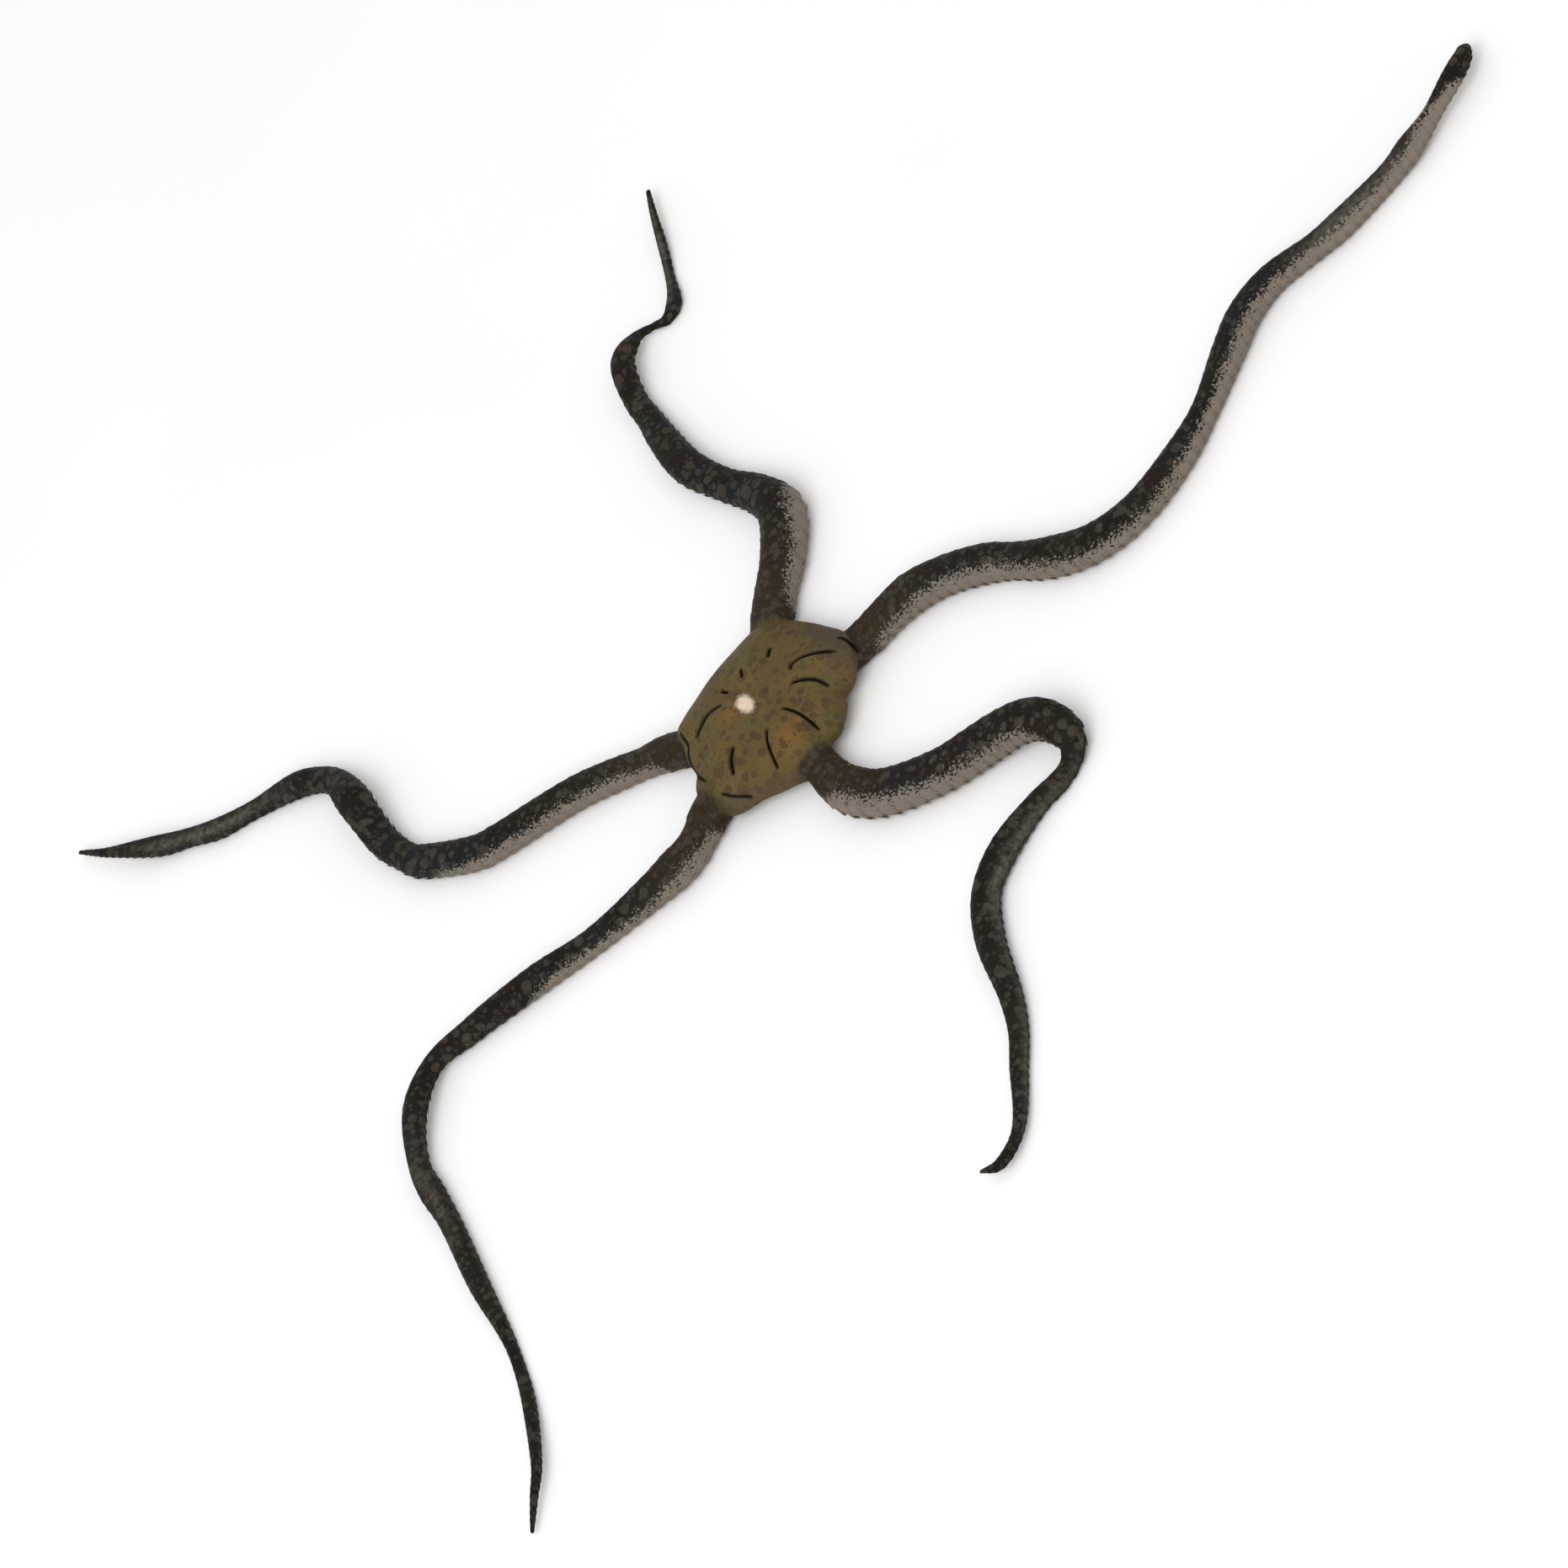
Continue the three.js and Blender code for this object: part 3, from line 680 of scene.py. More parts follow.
@dataclass
class ArmRoute:
    """An arm's course over the floor, from inside the disc to its tip, and where its colour changes.

    The flank lists, at distances from the root, how far round from the middle of the back it starts.
    A light stretch of the back, a painted highlight, is given by where it starts and ends, how far round it
    lies, and its strength.
    """

    name: str
    course: list[tuple[float, float, float]]
    cuts: int
    lifts: list[tuple[float, float, float]]
    near: Side
    flank: Sequence[Pair]
    # Each light is a painted highlight on the back: start, end, turn round the arm, strength.
    lights: Sequence[tuple[float, float, float, float]] = ()
    olive_fade: Union[Pair, None] = None
    olive_spread: float = 20.0
    far_edge: float = 1.25
    far_fade: float = 0.4
    highlight_spread: float = 0.55
    root_distance: float = 13.6
    steps: int = 90
    turn_reach: float = 0.25

    def __post_init__(self) -> None:
        """Work out the curve once: its points, and its length up to each of them."""
        self.curve = smooth_curve(np.array(self.course), self.steps)
        gone = np.concatenate([[0.0], np.cumsum(np.linalg.norm(np.diff(self.curve, axis=0), axis=1))])
        outside = int(np.argmax(np.hypot(self.curve[:, 0], self.curve[:, 1]) >= self.root_distance))
        self.gone = gone - gone[outside]
        self.start = float(self.gone[0])
        self.length = float(self.gone[-1])

    def _flat(self, distances: Array) -> Array:
        """Give east, north and width at distances from the root face."""
        return np.stack([np.interp(distances, self.gone, self.curve[:, c]) for c in range(3)], axis=1)

    def lift(self, distances: Array) -> Array:
        """Give the height of the arm's underside over the floor, at distances from the root face."""
        return sum(top * np.sin(pi * share_between(distances, *ends)) ** 2 for *ends, top in self.lifts)

    def places(self, distances: Array) -> Places:
        """Give the places at distances from the root face.

        Args:
            distances: In millimetres along the arm, negative inside the disc.

        Returns:
            The places.
        """
        flat = self._flat(distances)
        ahead = self._flat(distances + self.turn_reach) - self._flat(distances - self.turn_reach)
        ahead[:, 2] = 0.0
        heading = ahead / np.linalg.norm(ahead, axis=1)[:, None]
        side = np.stack([heading[:, 1], -heading[:, 0], np.zeros(len(heading))], axis=1)
        middle = np.stack([flat[:, 0], flat[:, 1], self.lift(distances)], axis=1)
        return Places(middle, side, flat[:, 2])

    def bearing(self) -> float:
        """Give the direction in which the arm leaves the disc, in degrees from east."""
        east, north, _ = self.course[1]
        return float(np.degrees(np.arctan2(north, east)))

    def olive_share(self, radius: Array) -> Array:
        """Give how much of the disc's olive is left over this arm's root, by distance from the middle."""
        return 0.0 * radius if self.olive_fade is None else 1.0 - smooth_step(radius, *self.olive_fade)

    def flank_edge(self, distances: Array, turns: Array) -> Array:
        """Give how far round the arm its pale flank starts, further up on the near side.

        Args:
            distances: Distances from the root face.
            turns: Turns round the arm from the middle of its back, positive to the right.

        Returns:
            The turn at which the flank starts on that side.
        """
        places, edges = zip(*self.flank)
        near = np.interp(distances, places, edges)
        far = near + np.maximum(self.far_edge - near, 0.0) * smooth_step(near, 0.0, self.far_fade)
        return np.where(turns * self.near.value > 0, near, far)

    def light(self, distances: Array, turns: Array) -> Array:
        """Give how strong the painted highlight is at a place on the back's light stretches, from 0 to 1.

        Args:
            distances: Distances from the root face.
            turns: Turns round the arm from the middle of its back, positive to the right.

        Returns:
            The strength of the painted highlight's colour.
        """
        found = np.zeros_like(distances)
        for start, end, turn, strength in self.lights:
            along = np.sin(pi * share_between(distances, start, end))
            aside = (turns * self.near.value - turn) / self.highlight_spread
            found = np.maximum(found, strength * along * np.exp(-(aside**2)))
        return found

    def nodes(self) -> list[str]:
        """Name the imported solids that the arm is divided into."""
        return [f"{self.name}_{i + 1}" for i in range(self.cuts + 1)]


@dataclass
class ArmSkin:
    """The plated surface of one arm: shields on its back, side plates that carry the spines, and a belly."""

    route: ArmRoute
    corners: int = 44
    rings_per_segment: int = 8
    segment: float = 1.5
    shortening: float = 1.2
    inside_step: float = 0.4
    inside_end: float = -0.2
    height_share: float = 0.75
    power: float = 2.4
    base_size: float = 0.91
    back_edge: float = 0.96
    back_fade: Pair = (0.84, 0.98)
    belly_fade: Pair = (2.35, 2.55)
    pale_fade: Pair = (2.5, 2.8)
    back_relief: float = 0.016
    side_relief: float = 0.04
    belly_relief: float = 0.01
    back_bow: float = 0.3
    side_bow: float = 0.12
    plate_power: float = 1.6
    plate_end: float = 0.82
    groove_half: float = 0.16
    # How strongly painted shade darkens the grooves on the back, the sides, the belly and the back's edge.
    back_groove_shade: float = 0.65
    side_groove_shade: float = 0.15
    belly_groove_shade: float = 0.6
    edge_groove_shade: float = 0.5
    edge_half: float = 0.06
    edge_depth: float = 0.014
    upper_relief: float = 0.3
    upper_fullness: float = 0.03
    upper_reach: Pair = (1.6, 1.95)
    root_fade: Pair = (3.0, 17.0)
    tip_widths: Pair = (0.8, 2.2)
    tip_reach: float = 0.6
    least_reach: float = 0.3
    least_tip: float = 0.01

    def __post_init__(self) -> None:
        """Divide the arm into segments."""
        self.count = int(round(self.route.length / self.segment))
        share = np.arange(self.count + 1) / self.count
        self.grooves = self.route.length * (1.0 - (1.0 - share) ** self.shortening)
        steps = np.arange(self.count * self.rings_per_segment + 1) / self.rings_per_segment
        outside = np.interp(steps, np.arange(self.count + 1), self.grooves)
        inside = np.arange(self.route.start, self.inside_end, self.inside_step)
        self.distances = np.concatenate([inside, outside])
        self.turns = np.arange(self.corners) * 2 * pi / self.corners - pi + pi / self.corners

    def segment_number(self, distances: Array) -> Array:
        """Give the place along the arm, counted in segments."""
        outside = np.interp(distances, self.grooves, np.arange(self.count + 1))
        return np.where(distances < 0, distances / self.segment, outside)

    def section(self, turns: Array) -> tuple[Array, Array]:
        """Give the plain section: how far to the right in half widths, and the share of the height."""
        parts = [np.sign(part) * np.abs(part) ** (2 / self.power) for part in (np.sin(turns), np.cos(turns))]
        return parts[0], 0.5 + 0.5 * parts[1]

    def relief(self, number: Array, turns: Array) -> tuple[Array, Array]:
        """Give the plates' shape, and the painted shade in the grooves between them.

        Args:
            number: Place along the arm in segments, one row for each ring.
            turns: Turns round the arm.

        Returns:
            How far the surface stands out, as a share of the half width, and how strongly painted shade
            darkens it in a groove.
        """
        away = np.abs(turns)
        back = 1.0 - smooth_step(away, *self.back_fade)
        belly = smooth_step(away, *self.belly_fade)
        flank = (1.0 - back) * (1.0 - belly)
        bow = back * self.back_bow * np.cos(away / self.back_edge * pi / 2)
        bow -= flank * self.side_bow * (away - pi / 2)
        share = (number[:, None] - bow[None, :]) % 1.0
        rise = (1.0 - (1.0 - share) ** self.plate_power) * (1.0 - smooth_step(share, self.plate_end, 1.0))
        upper = 1.0 - smooth_step(away, *self.upper_reach)
        side_relief = self.side_relief * (1.0 - (1.0 - self.upper_relief) * upper)
        size = back * self.back_relief + flank * side_relief + belly * self.belly_relief
        # Painted shade in the grooves between plates and along the back's edge.
        groove_shade = 1.0 - smooth_step(np.minimum(share, 1.0 - share), 0.0, self.groove_half)
        edge = np.exp(-(((away - self.back_edge) / self.edge_half) ** 2))
        fullness = flank * upper * self.upper_fullness - self.edge_depth * edge
        depth = self.back_groove_shade * back + self.side_groove_shade * flank + self.belly_groove_shade * belly
        return rise * size + fullness, np.maximum(groove_shade * depth, self.edge_groove_shade * edge)

    def tints(self, distances: Array, turns: Array) -> dict[str, Array]:
        """Give the numbers that colour the arm.

        Args:
            distances: Distances from the root face, in one row.
            turns: Turns round the arm from the middle of its back, positive to the right.

        Returns:
            How far below the pale flank's edge each point is, how strong its painted highlight is, and how
            near the disc and near the thin tip it is.
        """
        width = self.route.places(distances).width
        return {
            "flank": np.abs(turns) - self.route.flank_edge(distances, turns),
            # The painted highlight on the back's light stretches.
            "light": self.route.light(distances, turns),
            "root": 1.0 - smooth_step(distances, *self.root_fade),
            "tip": 1.0 - smooth_step(width, *self.tip_widths),
        }

    def sheet(self) -> Sheet:
        """Build the arm's surface.

        Returns:
            The mesh, closed at both ends.
        """
        places = self.route.places(self.distances)
        across, up = self.section(self.turns)
        out, groove_shade = self.relief(self.segment_number(self.distances), self.turns)
        reach = max(places.width[-1] * self.tip_reach, self.least_reach)
        past = share_between(self.distances, self.route.length - reach, self.route.length)
        tip_size = np.sqrt(np.maximum(1.0 - past**2, self.least_tip))[:, None]
        size = (self.base_size + out) * tip_size
        height = places.width[:, None] * self.height_share
        sideways = places.width[:, None] / 2 * across * size
        lifted = np.maximum(height * (0.5 + (up - 0.5) * (1.0 + size - self.base_size)), 0.0)
        middle = height * 0.5
        lifted = middle + (lifted - middle) * tip_size
        points = places.middle[:, None, :] + sideways[..., None] * places.side[:, None, :]
        points[..., 2] += lifted
        rings, corners = len(self.distances), self.corners
        along = np.repeat(self.distances, corners)
        turned = np.tile(self.turns, rings)
        numbers = {
            "along": along,
            "round": turned,
            # The painted shade in the grooves.
            "crevice_shade": groove_shade.ravel(),
            "belly": smooth_step(np.abs(turned), *self.pale_fade) * BELLY_SHARE,
            "disc": self.route.olive_share(np.hypot(points[..., 0], points[..., 1])).ravel(),
            **self.tints(along, turned),
        }
        return Sheet(points.reshape(-1, 3), tube_faces(rings, corners, True), numbers)


@dataclass(frozen=True)
class Stroke:
    """A dark line of painted shade on the disc's back: half its width, and the [east, north] points that it
    passes.
    """

    width: float
    points: tuple[Pair, ...]


@dataclass
class Disc:
    """The disc: a low dome with furrows beside each arm, a soft belly and the hollow of the mouth."""

    routes: list[ArmRoute]
    radius: float = 12.3
    height: float = 6.4
    rim_height: float = 3.0
    belly_height: float = 0.6
    shoulder: float = 1.2
    shoulder_spread: float = 16.0
    swelling: float = 0.35
    lobe_rise: float = 1.25
    lobe_spread: float = 15.0
    bulges: Sequence[tuple[float, float, float]] = (
        (17, 0.25, 24), (91, -0.4, 30), (126, -0.3, 6), (141, -1.5, 10), (165, -1.1, 16),
        (175, 0.45, 5), (-153, 1, 10), (-130, -0.9, 24), (-111, -0.3, 8), (-79, -1.3, 6),
        (-53, -0.85, 20), (-44.5, -0.75, 5), (-34, 0.35, 6), (-21, 0.35, 7),
    )
    side_start: float = 0.72
    flatness: float = 2.4
    roundness: float = 0.6
    corners: int = 540
    back_rings: int = 116
    side_rings: int = 12
    belly_rings: int = 36
    middle_share: float = 0.02
    furrow_depth: float = 0.4
    furrow_reach: float = 0.85
    lip_rise: float = 0.09
    lip_reach: float = 2.2
    stroke_reach: float = 17.0
    stroke_drop: float = 1.0
    stroke_steps: int = 24
    stroke_taper: float = 0.12
    line_shade_strength: float = 1.4
    mouth_radius: float = 4.5
    mouth_waist: float = 0.1
    mouth_height: float = 1.9
    mouth_edge: Pair = (-0.12, 0.05)
    shield_place: float = 5.5
    shield_half: Pair = (0.95, 1.25)
    shield_fade: Pair = (0.85, 1.05)
    shield_rise: float = 0.32
    slit_places: Pair = (7.05, 8.95)
    slit_half: float = 0.55
    slit_aside: float = 3.7
    slit_width: float = 0.22
    slit_depth: float = 0.45
    belly_top: float = 0.9
    # The furrows are cut into the back; each also carries a dark line of painted shade.
    furrows: Sequence[Stroke] = (
        Stroke(0.24, ((5.9, -1.9), (6.2, -1.4), (7.5, -1.6), (9.3, -2.9), (11, -4.6))),
        Stroke(0.2, ((4.5, -3), (5.7, -3.9), (6.8, -5.3), (7.2, -6.8))),
        Stroke(0.19, ((1.6, -4.4), (2.3, -6.5), (2.5, -8.5), (2.4, -10.2))),
        Stroke(0.19, ((-1.4, -4.9), (-2.6, -6.1), (-3.5, -7.7), (-4.3, -9.2))),
        Stroke(0.25, ((-5.5, -2.2), (-6.9, -3.1), (-8.2, -4.6))),
        Stroke(0.28, ((-2.5, 3.9), (-4.1, 4.6), (-5.9, 4.7), (-7.6, 4.7))),
        Stroke(0.2, ((-0.9, 4.6), (-1.2, 5.3), (-1.3, 6.1))),
        Stroke(0.2, ((1.5, 4.3), (1.9, 5), (2.2, 5.7))),
        Stroke(0.24, ((5.3, 3.2), (5.9, 3.8), (6.4, 4.2))),
    )
    # Dark lines of painted shade where the disc's edge meets the arms.
    edges: Sequence[Stroke] = (
        Stroke(0.21, ((12.2, -3), (12.6, -3.7), (12.7, -4.7), (12.3, -6), (11.8, -6.7))),
        Stroke(
            0.22,
            ((-8.1, 8.2), (-8.4, 7.7), (-8.9, 5.5), (-9.8, 5),
             (-10.6, 3.8), (-10.9, 2), (-10.9, 0.1), (-10.8, -1.4)),
        ),
        Stroke(0.17, ((-10.8, -4.1), (-10.1, -5.8), (-8.6, -7.6))),
    )
    warm_places: Sequence[tuple[float, float, float, float]] = (
        (-0.4, -8.5, 2.2, 0.85), (-6.7, -0.8, 1.7, 0.4), (0.8, 3.3, 2.0, 0.35),
        (-2.6, 1.4, 1.5, 0.5),
    )
    rim_places: Sequence[tuple[float, float, float, float]] = (
        (-5, 25, 0.77, 1.0), (-130, 34, 0.9, 0.6), (-156, 16, 0.87, 0.5), (-48, 20, 0.9, 0.3),
        (150, 30, 0.9, 0.3),
    )
    blotch: Pair = (-0.7, 0.7)
    blotch_reach: Pair = (1.55, 2.75)
    blotch_floor: float = 3.0
    rim_fade: Pair = (-0.03, 0.07)

    def bearings(self) -> list[float]:
        """Give the arms' directions in degrees, in order round the disc."""
        return sorted(route.bearing() for route in self.routes)

    def between(self) -> list[float]:
        """Give the directions halfway between neighbouring arms."""
        found = self.bearings()
        return [(a + b) / 2 for a, b in zip(found, found[1:] + [found[0] + 360.0])]

    def outline(self, degrees: Array) -> Array:
        """Give the disc's radius in each direction."""
        shoulders = [(bearing, self.shoulder, self.shoulder_spread) for bearing in self.bearings()]
        return self.radius + sum(rise * hill(degrees, b, s) for b, rise, s in (*shoulders, *self.bulges))

    def back(self, share: float, degrees: Array) -> Array:
        """Give the height of the disc's back at a share of its radius.

        Args:
            share: The share of the radius.
            degrees: The direction of each point.

        Returns:
            The heights.
        """
        dome = (1.0 - share**self.flatness) ** self.roundness
        over_arm = np.max([hill(degrees, b, self.shoulder_spread) for b in self.bearings()], axis=0)
        rim = self.rim(degrees)
        return rim + (self.height - rim) * dome + self.swelling * over_arm * np.sin(pi * share)

    def rim(self, degrees: Array) -> Array:
        """Give the height of the disc's edge, which rises over the arms that it overlaps."""
        lobes = [hill(degrees, r.bearing(), self.lobe_spread) for r in self.routes if r.olive_fade is None]
        return self.rim_height + self.lobe_rise * np.max(lobes, axis=0)

    def mouth_outline(self, degrees: Array) -> Array:
        """Give the radius of the mouth's hollow in each direction."""
        turned = np.clip(turn_from(degrees, self.between()) / HALF_GAP, 0.0, 1.0)
        return self.mouth_radius * (1.0 - self.mouth_waist * (1.0 - turned))

    def nearness(self, plan: Array, stroke: Stroke, reach: float) -> Array:
        """Give how near points are to a curved stroke that fades at its ends.

        Args:
            plan: East and north of each point.
            stroke: The stroke.
            reach: How far to look, as a share of half its width.

        Returns:
            1 on the stroke, falling to 0 beside it.
        """
        width = stroke.width * reach
        middle = smooth_curve(np.array(stroke.points, float), self.stroke_steps)
        gap = np.linalg.norm(plan[:, None, :] - middle[None, :, :], axis=2)
        nearest = gap.argmin(axis=1)
        share = nearest / (len(middle) - 1)
        taper = np.sqrt(np.clip(np.minimum(share, 1 - share) / self.stroke_taper, 0.0, 1.0))
        return np.exp(-((gap[np.arange(len(plan)), nearest] / width) ** 2)) * taper

    def strokes(self, points: Array, wanted: Sequence[Stroke], reach: float) -> Array:
        """Give the greatest nearness to any of the wanted strokes, for points on the back.

        Args:
            points: The points.
            wanted: The strokes.
            reach: How far to look, as a share of half a stroke's width.

        Returns:
            1 on a stroke, falling to 0 beside it.
        """
        found = np.zeros(len(points))
        radius, degrees = compass(points)
        near = (radius < self.stroke_reach) & (points[:, 2] > self.rim(degrees) - self.stroke_drop)
        for stroke in wanted:
            found[near] = np.maximum(found[near], self.nearness(points[near, :2], stroke, reach))
        return found

    def belly(self, radius: Array, degrees: Array) -> Array:
        """Give the height of the belly: shields beside the mouth, and slits along the arms.

        Args:
            radius: The distance of each point from the middle.
            degrees: The direction of each.

        Returns:
            The heights.
        """
        plan = around(radius, degrees)
        height = np.full_like(radius, self.belly_height)
        for bearing in self.between():
            out, aside = out_and_aside(plan, bearing)
            gap = np.hypot((out - self.shield_place) / self.shield_half[0], aside / self.shield_half[1])
            height -= self.shield_rise * (1.0 - smooth_step(gap, *self.shield_fade))
        for bearing in self.bearings():
            out, aside = out_and_aside(plan, bearing)
            along = np.min([np.abs(out - place) for place in self.slit_places], axis=0)
            gap = np.hypot(np.abs(aside) - self.slit_aside, np.maximum(along - self.slit_half, 0.0))
            height += self.slit_depth * np.exp(-((gap / self.slit_width) ** 2))
        hollow = 1.0 - smooth_step(radius - self.mouth_outline(degrees), *self.mouth_edge)
        return height + (self.mouth_height - height) * hollow

    def sheet(self) -> Sheet:
        """Build the disc's surface.

        Returns:
            The closed mesh, with the numbers that its finish reads.
        """
        degrees = np.arange(self.corners) * 360.0 / self.corners
        outline, rim = self.outline(degrees), self.rim(degrees)
        rings = []
        for share in np.linspace(self.middle_share, self.side_start, self.belly_rings, endpoint=False):
            rings.append((share * outline, self.belly(share * outline, degrees)))
        for lean in np.linspace(0.0, pi / 2, self.side_rings):
            share = self.side_start + (1.0 - self.side_start) * sin(lean)
            rings.append((share * outline, rim + (self.belly_height - rim) * cos(lean)))
        for lean in np.linspace(pi / 2, self.middle_share, self.back_rings)[1:]:
            rings.append((sin(lean) * outline, self.back(sin(lean), degrees)))
        sheet = stacked(degrees, rings)
        points = sheet.points
        furrow = self.strokes(points, self.furrows, self.furrow_reach)
        lip = self.strokes(points, self.furrows, self.lip_reach)
        points[:, 2] += self.lip_rise * (lip - furrow) - self.furrow_depth * furrow
        radius, direction = compass(points)
        nothing = np.zeros(len(points))
        sheet.numbers = {
            "along": radius,
            "round": direction,
            "crevice_shade": nothing,
            "light": nothing,
            "root": nothing + 1.0,
            "tip": nothing,
            "disc": self.olive_left(points),
            "flank": nothing - 2.0,
            "belly": (points[:, 2] < self.belly_top) * BELLY_SHARE,
        }
        return sheet

    def marks(self, points: Array) -> dict[str, Array]:
        """Work out the numbers that colour the disc and the arms' roots.

        Args:
            points: Every point of the skin.

        Returns:
            The numbers by the names that the finish reads.
        """
        radius, degrees = compass(points)
        share = radius / self.outline(degrees)
        warm = np.zeros(len(points))
        for east, north, reach, strength in self.warm_places:
            gap = np.hypot(points[:, 0] - east, points[:, 1] - north)
            warm = np.maximum(warm, strength * np.exp(-((gap / reach) ** 2)))
        rim = np.zeros(len(points))
        for bearing, spread, start, strength in self.rim_places:
            strip = smooth_step(share - start, *self.rim_fade)
            rim = np.maximum(rim, strength * strip * hill(degrees, bearing, spread))
        gap = np.linalg.norm((points[:, :2] - self.blotch) / self.blotch_reach, axis=1)
        # Painted shade: dark lines along the furrows and where the disc's edge meets the arms.
        line = self.strokes(points, (*self.furrows, *self.edges), 1.0)
        return {
            "rim": rim,
            "warm": warm,
            "blotch": np.clip(1.0 - gap, 0, 1) * (points[:, 2] > self.blotch_floor),
            "line": np.clip(line * self.line_shade_strength, 0, 1),
        }

    def olive_left(self, points: Array) -> Array:
        """Give how much of the disc's olive is left at points of its own surface.

        Args:
            points: The points.

        Returns:
            1 where all is left, 0 where an arm's dark has taken over.
        """
        radius, degrees = compass(points)
        left = np.ones(len(points))
        for route in self.routes:
            if route.olive_fade is not None:
                gone = 1.0 - route.olive_share(radius)
                left = np.minimum(left, 1.0 - gone * hill(degrees, route.bearing(), route.olive_spread))
        return left


@dataclass
class Skin:
    """The whole skin: the disc and the five arms made one surface."""

    disc: Disc
    arms: list[ArmSkin]
    finish: SkinFinish
    crease_rounds: int = 10
    crease_reach: int = 6
    crease_pull: float = 0.6
    crease_fade: float = 0.8
    strip_height: float = 0.13
    strip_turn: float = 2.1 * pi
    plan_half: float = 15.0
    map_margin: float = 0.004

    def build(self) -> bpy.types.Object:
        """Build, join and dress the skin.

        Returns:
            The piece.
        """
        skin = self.joined(self.pieces())
        mesh = skin.data
        points = read(mesh.vertices, "co", float, 3) / MM
        edges = read(mesh.edges, "vertices", width=2)
        crease = self.numbers(mesh, "kept") < 0.5
        points = self.soften(points, edges, crease)
        mesh.vertices.foreach_set("co", (points * MM).ravel())
        for name in ("along", "round", "flank", "crevice_shade", "light", "root", "tip", "belly", "disc"):
            self.fill(mesh, name, edges, crease)
        write_numbers(mesh, self.disc.marks(points))
        self.lay_out(mesh, points)
        self.tidy(mesh)
        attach(skin, BODY)
        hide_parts("disc", *[node for arm in self.arms for node in arm.route.nodes()])
        return skin

    def pieces(self) -> list[bpy.types.Object]:
        """Build the disc and the arms as closed meshes, with each one's number on its faces.

        Returns:
            The pieces, the disc first.
        """
        material = self.finish.material()
        sheets = [self.disc.sheet()] + [arm.sheet() for arm in self.arms]
        pieces = []
        for i, sheet in enumerate(sheets):
            sheet.numbers["kept"] = np.ones(len(sheet.points))
            piece = sheet.piece("skin" if i == 0 else f"skin_{i}", material)
            for _ in sheets[1:]:
                piece.data.materials.append(material)
            number = np.full(len(piece.data.polygons), i, np.int32)
            piece.data.polygons.foreach_set("material_index", number)
            pieces.append(piece)
        return pieces

    @staticmethod
    def joined(pieces: list[bpy.types.Object]) -> bpy.types.Object:
        """Make one surface of the first piece and all others.

        Args:
            pieces: Closed meshes that reach into each other. The others are removed.

        Returns:
            The first piece, with its new mesh.
        """
        whole = pieces[0]
        for other in pieces[1:]:
            union = whole.modifiers.new("join", "BOOLEAN")
            union.operation = "UNION"
            union.solver = "MANIFOLD"
            union.object = other
        graph = bpy.context.evaluated_depsgraph_get()
        made = whole.evaluated_get(graph)
        mesh = bpy.data.meshes.new_from_object(made, preserve_all_data_layers=True, depsgraph=graph)
        whole.modifiers.clear()
        whole.data = mesh
        for other in pieces[1:]:
            bpy.data.objects.remove(other)
        return whole

    @staticmethod
    def numbers(mesh: bpy.types.Mesh, name: str) -> Array:
        """Give one of the numbers that a mesh carries on its points, by its name."""
        return read(mesh.attributes[name].data, "value", np.float32)

    def soften(self, points: Array, edges: Array, crease: Array) -> Array:
        """Round the creases where the arms enter the disc.

        Args:
            points: The skin's points.
            edges: Pairs of point numbers.
            crease: Whether each point lies on a crease.

        Returns:
            The moved points.
        """
        weight = crease.astype(float)
        for _ in range(self.crease_reach):
            spread = weight.copy()
            for here, there in ((0, 1), (1, 0)):
                np.maximum.at(spread, edges[:, here], weight[edges[:, there]] * self.crease_fade)
            weight = spread
        count = np.maximum(np.bincount(edges.ravel(), minlength=len(points)), 1)[:, None]
        for _ in range(self.crease_rounds):
            total = np.zeros_like(points)
            for here, there in ((0, 1), (1, 0)):
                np.add.at(total, edges[:, here], points[edges[:, there]])
            points = points + (total / count - points) * (self.crease_pull * weight)[:, None]
        return points

    def fill(self, mesh: bpy.types.Mesh, name: str, edges: Array, crease: Array) -> None:
        """Give the points on a crease the mean of their neighbours' number.

        Args:
            mesh: The skin's mesh.
            name: The number's name.
            edges: Pairs of point numbers.
            crease: Whether each point lies on a crease.
        """
        values = self.numbers(mesh, name)
        total = np.zeros(len(crease))
        count = np.zeros(len(crease))
        for here, there in ((0, 1), (1, 0)):
            known = ~crease[edges[:, there]]
            np.add.at(total, edges[known, here], values[edges[known, there]])
            np.add.at(count, edges[known, here], 1.0)
        values[crease] = (total / np.maximum(count, 1.0))[crease]
        mesh.attributes[name].data.foreach_set("value", values)

